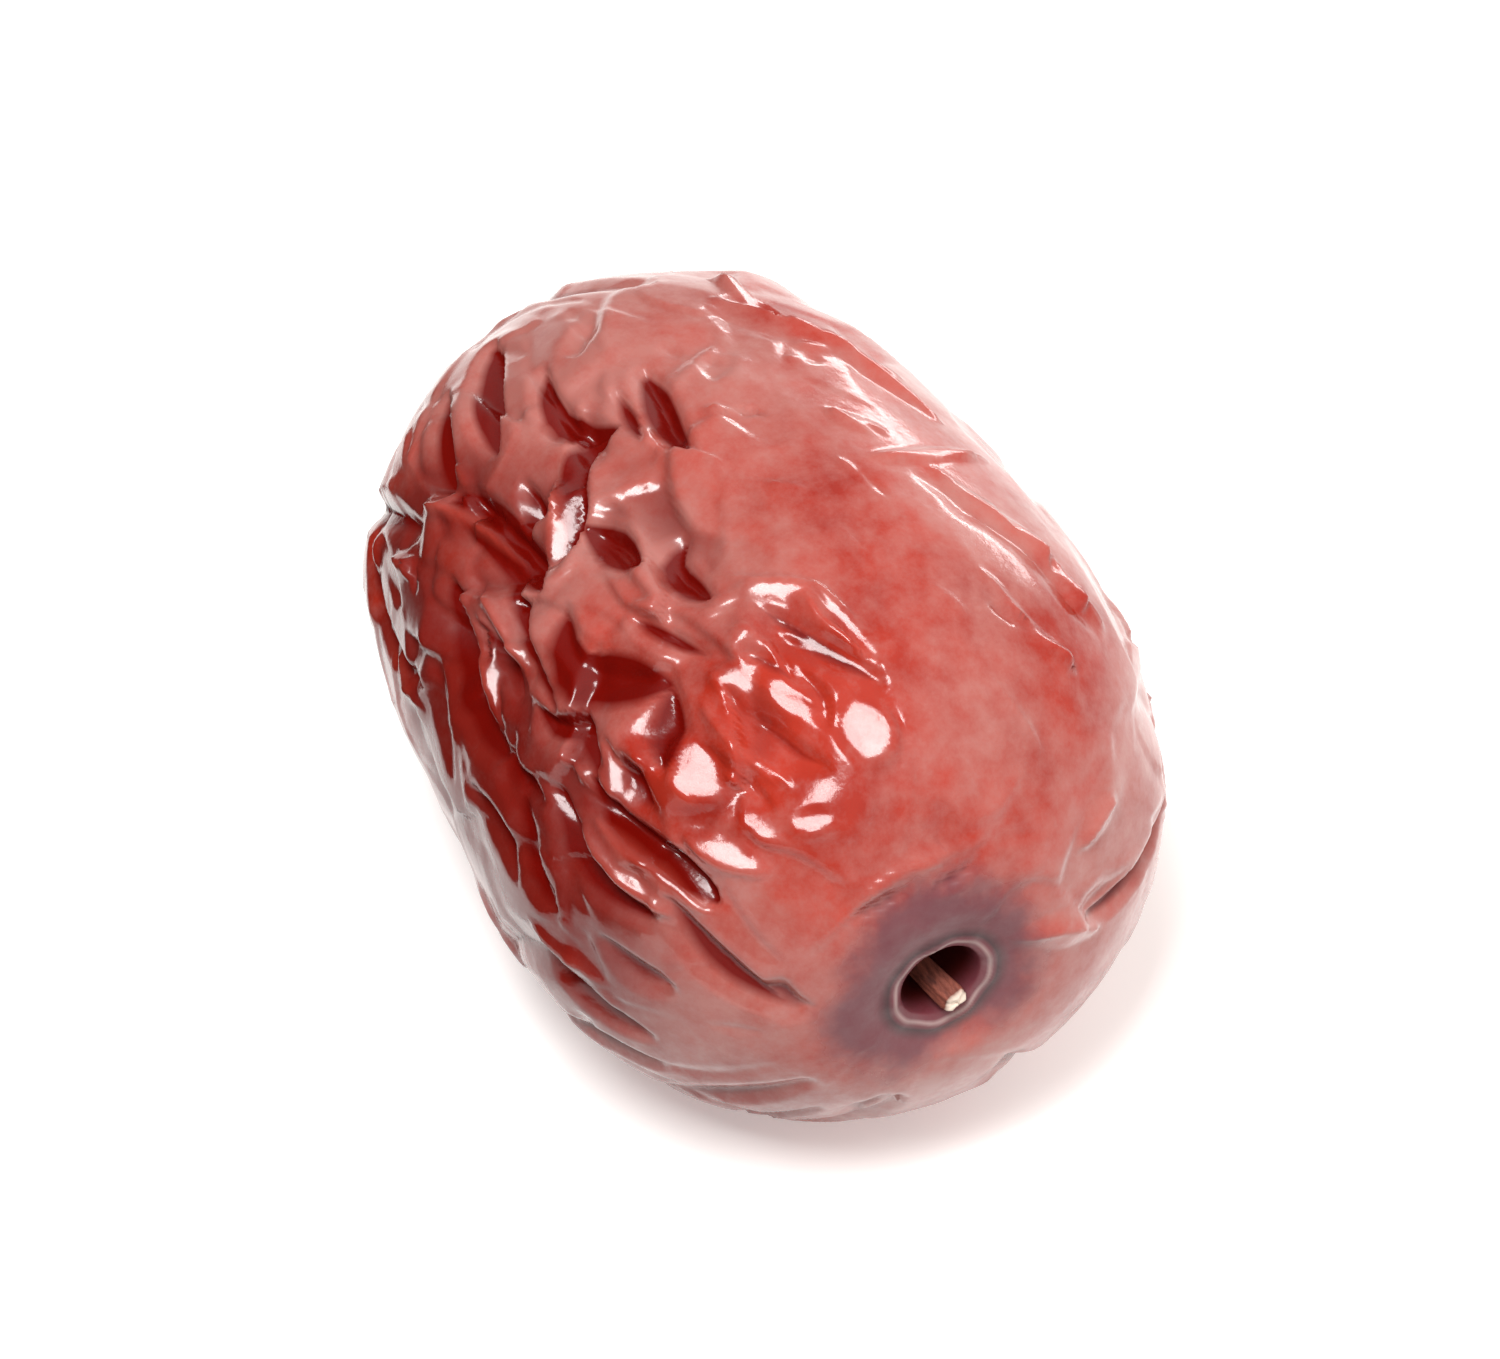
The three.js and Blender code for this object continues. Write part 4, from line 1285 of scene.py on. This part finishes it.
def direction(azimuth: float, elevation: float) -> Vector:
    """Returns the direction towards a viewer at these degrees, where azimuth 0 looks along +Y."""
    a, e = math.radians(azimuth), math.radians(elevation)
    return Vector((math.sin(a) * math.cos(e), -math.cos(a) * math.cos(e), math.sin(e)))


def aim(thing: bpy.types.Object, target: Vector, away: Vector, distance: float) -> None:
    """Places a lamp or the camera so that it looks at a target.

    Args:
        thing: The lamp or the camera.
        target: The place that it looks at.
        away: The unit direction from the target to it.
        distance: How far it is from the target.
    """
    thing.location = target + away * distance
    thing.rotation_euler = away.to_track_quat("Z", "Y").to_euler()


@dataclass(frozen=True)
class Softbox:
    """A soft studio lamp that looks at the fruit."""

    name: str
    azimuth: float
    elevation: float
    distance: float
    size: tuple[float, float]
    power: float

    def build(self, target: Vector) -> None:
        """Sets the lamp up.

        Args:
            target: The place that it looks at.
        """
        lamp = bpy.data.lights.new(self.name, "AREA")
        lamp.shape = "RECTANGLE"
        lamp.size, lamp.size_y = self.size
        lamp.energy = self.power
        aim(add_object(lamp), target, direction(self.azimuth, self.elevation), self.distance)


@dataclass
class Studio:
    """The pale floor, the soft light and the camera at the photograph's angle."""

    azimuth: float = 62.5
    elevation: float = 46.0
    distance: float = 0.56
    view_width: float = 0.055
    sensor: float = 36.0
    nearest: float = 0.01
    floor_size: float = 3.0
    floor_finish: PaperFinish = PaperFinish("matt_white_paper", "#f4f2f0", 0.3)
    card_size: tuple[float, float] = (0.06, 0.035)
    card_gap: float = 0.004
    card_distance: float = 0.026
    card_finish: PaperFinish = PaperFinish("dark_card", "#30130f")
    sky_colour: tuple[float, ...] = (1.0, 0.97, 0.93, 1.0)
    sky_towards: tuple[float, float] = (150, 10)
    sky_facing: tuple[float, float] = (-0.5, 0.7)
    sky_strength: tuple[float, float] = (0.16, 1.1)
    lamps: tuple[Softbox, ...] = (
        Softbox("key_softbox", 40, 65, 0.6, (0.2, 0.24), 4.0),
        Softbox("rim_softbox", 217, 8, 0.6, (0.35, 0.06), 0.9),
    )

    def board(self, name: str, finish: PaperFinish, place: Matrix) -> bpy.types.Object:
        """Makes a flat board.

        Args:
            name: Its name.
            finish: Its finish.
            place: What turns a square of one metre, flat round the origin, into it.

        Returns:
            The board.
        """
        mesh = bmesh.new()
        bmesh.ops.create_grid(mesh, x_segments=1, y_segments=1, size=0.5, matrix=place)
        data = write_mesh(mesh, name)[0]
        data.materials.append(finish.make())
        return add_object(data)

    def lay_floor(self) -> None:
        """Lays the floor, which leaves the light from below to the sky."""
        size = Matrix.Diagonal((self.floor_size, self.floor_size, 1, 1))
        floor = self.board("studio_floor", self.floor_finish, size)
        floor.visible_diffuse = False

    def stand_card(self, middle: Vector) -> None:
        """Stands a dark card on the left of the fruit, which only reflections show.

        Args:
            middle: The middle of the fruit.
        """
        width, height = self.card_size
        left = -Vector((math.cos(math.radians(self.azimuth)), math.sin(math.radians(self.azimuth)), 0))
        place = Vector((middle.x, middle.y, height / 2 + self.card_gap)) + left * self.card_distance
        turn = left.to_track_quat("Z", "Y").to_matrix().to_4x4()
        size = Matrix.Diagonal((width, height, 1, 1))
        card = self.board("studio_flag", self.card_finish, Matrix.Translation(place) @ turn @ size)
        card.visible_camera = False
        card.visible_diffuse = False
        card.visible_shadow = False

    def light_sky(self) -> None:
        """Lights the scene with a sky that is brighter on one side."""
        world = bpy.data.worlds.new("studio_sky")
        world.use_nodes = True
        tree = world.node_tree
        coords = add_node(tree, "ShaderNodeTexCoord").outputs["Generated"]
        towards = direction(*self.sky_towards)
        facing = add_node(tree, "ShaderNodeVectorMath", {0: coords, 1: towards}, operation="DOT_PRODUCT")
        names = ("From Min", "From Max", "To Min", "To Max")
        inputs = {"Value": facing.outputs["Value"], **dict(zip(names, self.sky_facing + self.sky_strength))}
        glow = add_node(tree, "ShaderNodeMapRange", inputs, interpolation_type="SMOOTHSTEP")
        background = tree.nodes["Background"].inputs
        background["Color"].default_value = self.sky_colour
        tree.links.new(glow.outputs["Result"], background["Strength"])
        bpy.context.scene.world = world

    def build(self) -> None:
        """Sets up the floor, the card, the sky, the lamps and the camera."""
        low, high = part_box("fruit")
        middle = (low + high) / 2
        bpy.context.scene.view_settings.view_transform = "Standard"
        self.lay_floor()
        self.stand_card(middle)
        self.light_sky()
        for lamp in self.lamps:
            lamp.build(middle)
        camera = bpy.data.cameras.new("camera")
        camera.sensor_width = self.sensor
        camera.lens = self.sensor * self.distance / self.view_width
        camera.clip_start = self.nearest
        viewer = add_object(camera)
        aim(viewer, middle, direction(self.azimuth, self.elevation), self.distance)
        bpy.context.scene.camera = viewer
        log.info("studio: %d lamps", len(self.lamps))


def main() -> None:
    """Builds the pieces in order, dresses them and sets the studio up."""
    logging.basicConfig(level=logging.INFO, format="%(name)s: %(message)s")
    pieces = (
        (Fruit().build(), SkinFinish().make(), "fruit", "skin"),
        (StemStub().build(), StalkFinish().make(), "stem", "stem"),
    )
    for piece, material, node, slot in pieces:
        piece.data.materials.append(material)
        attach(piece, "root")
        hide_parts(node)
        log.info("%s stands for %s", piece.name, node)
    Studio().build()
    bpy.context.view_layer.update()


if __name__ == "__main__":
    main()
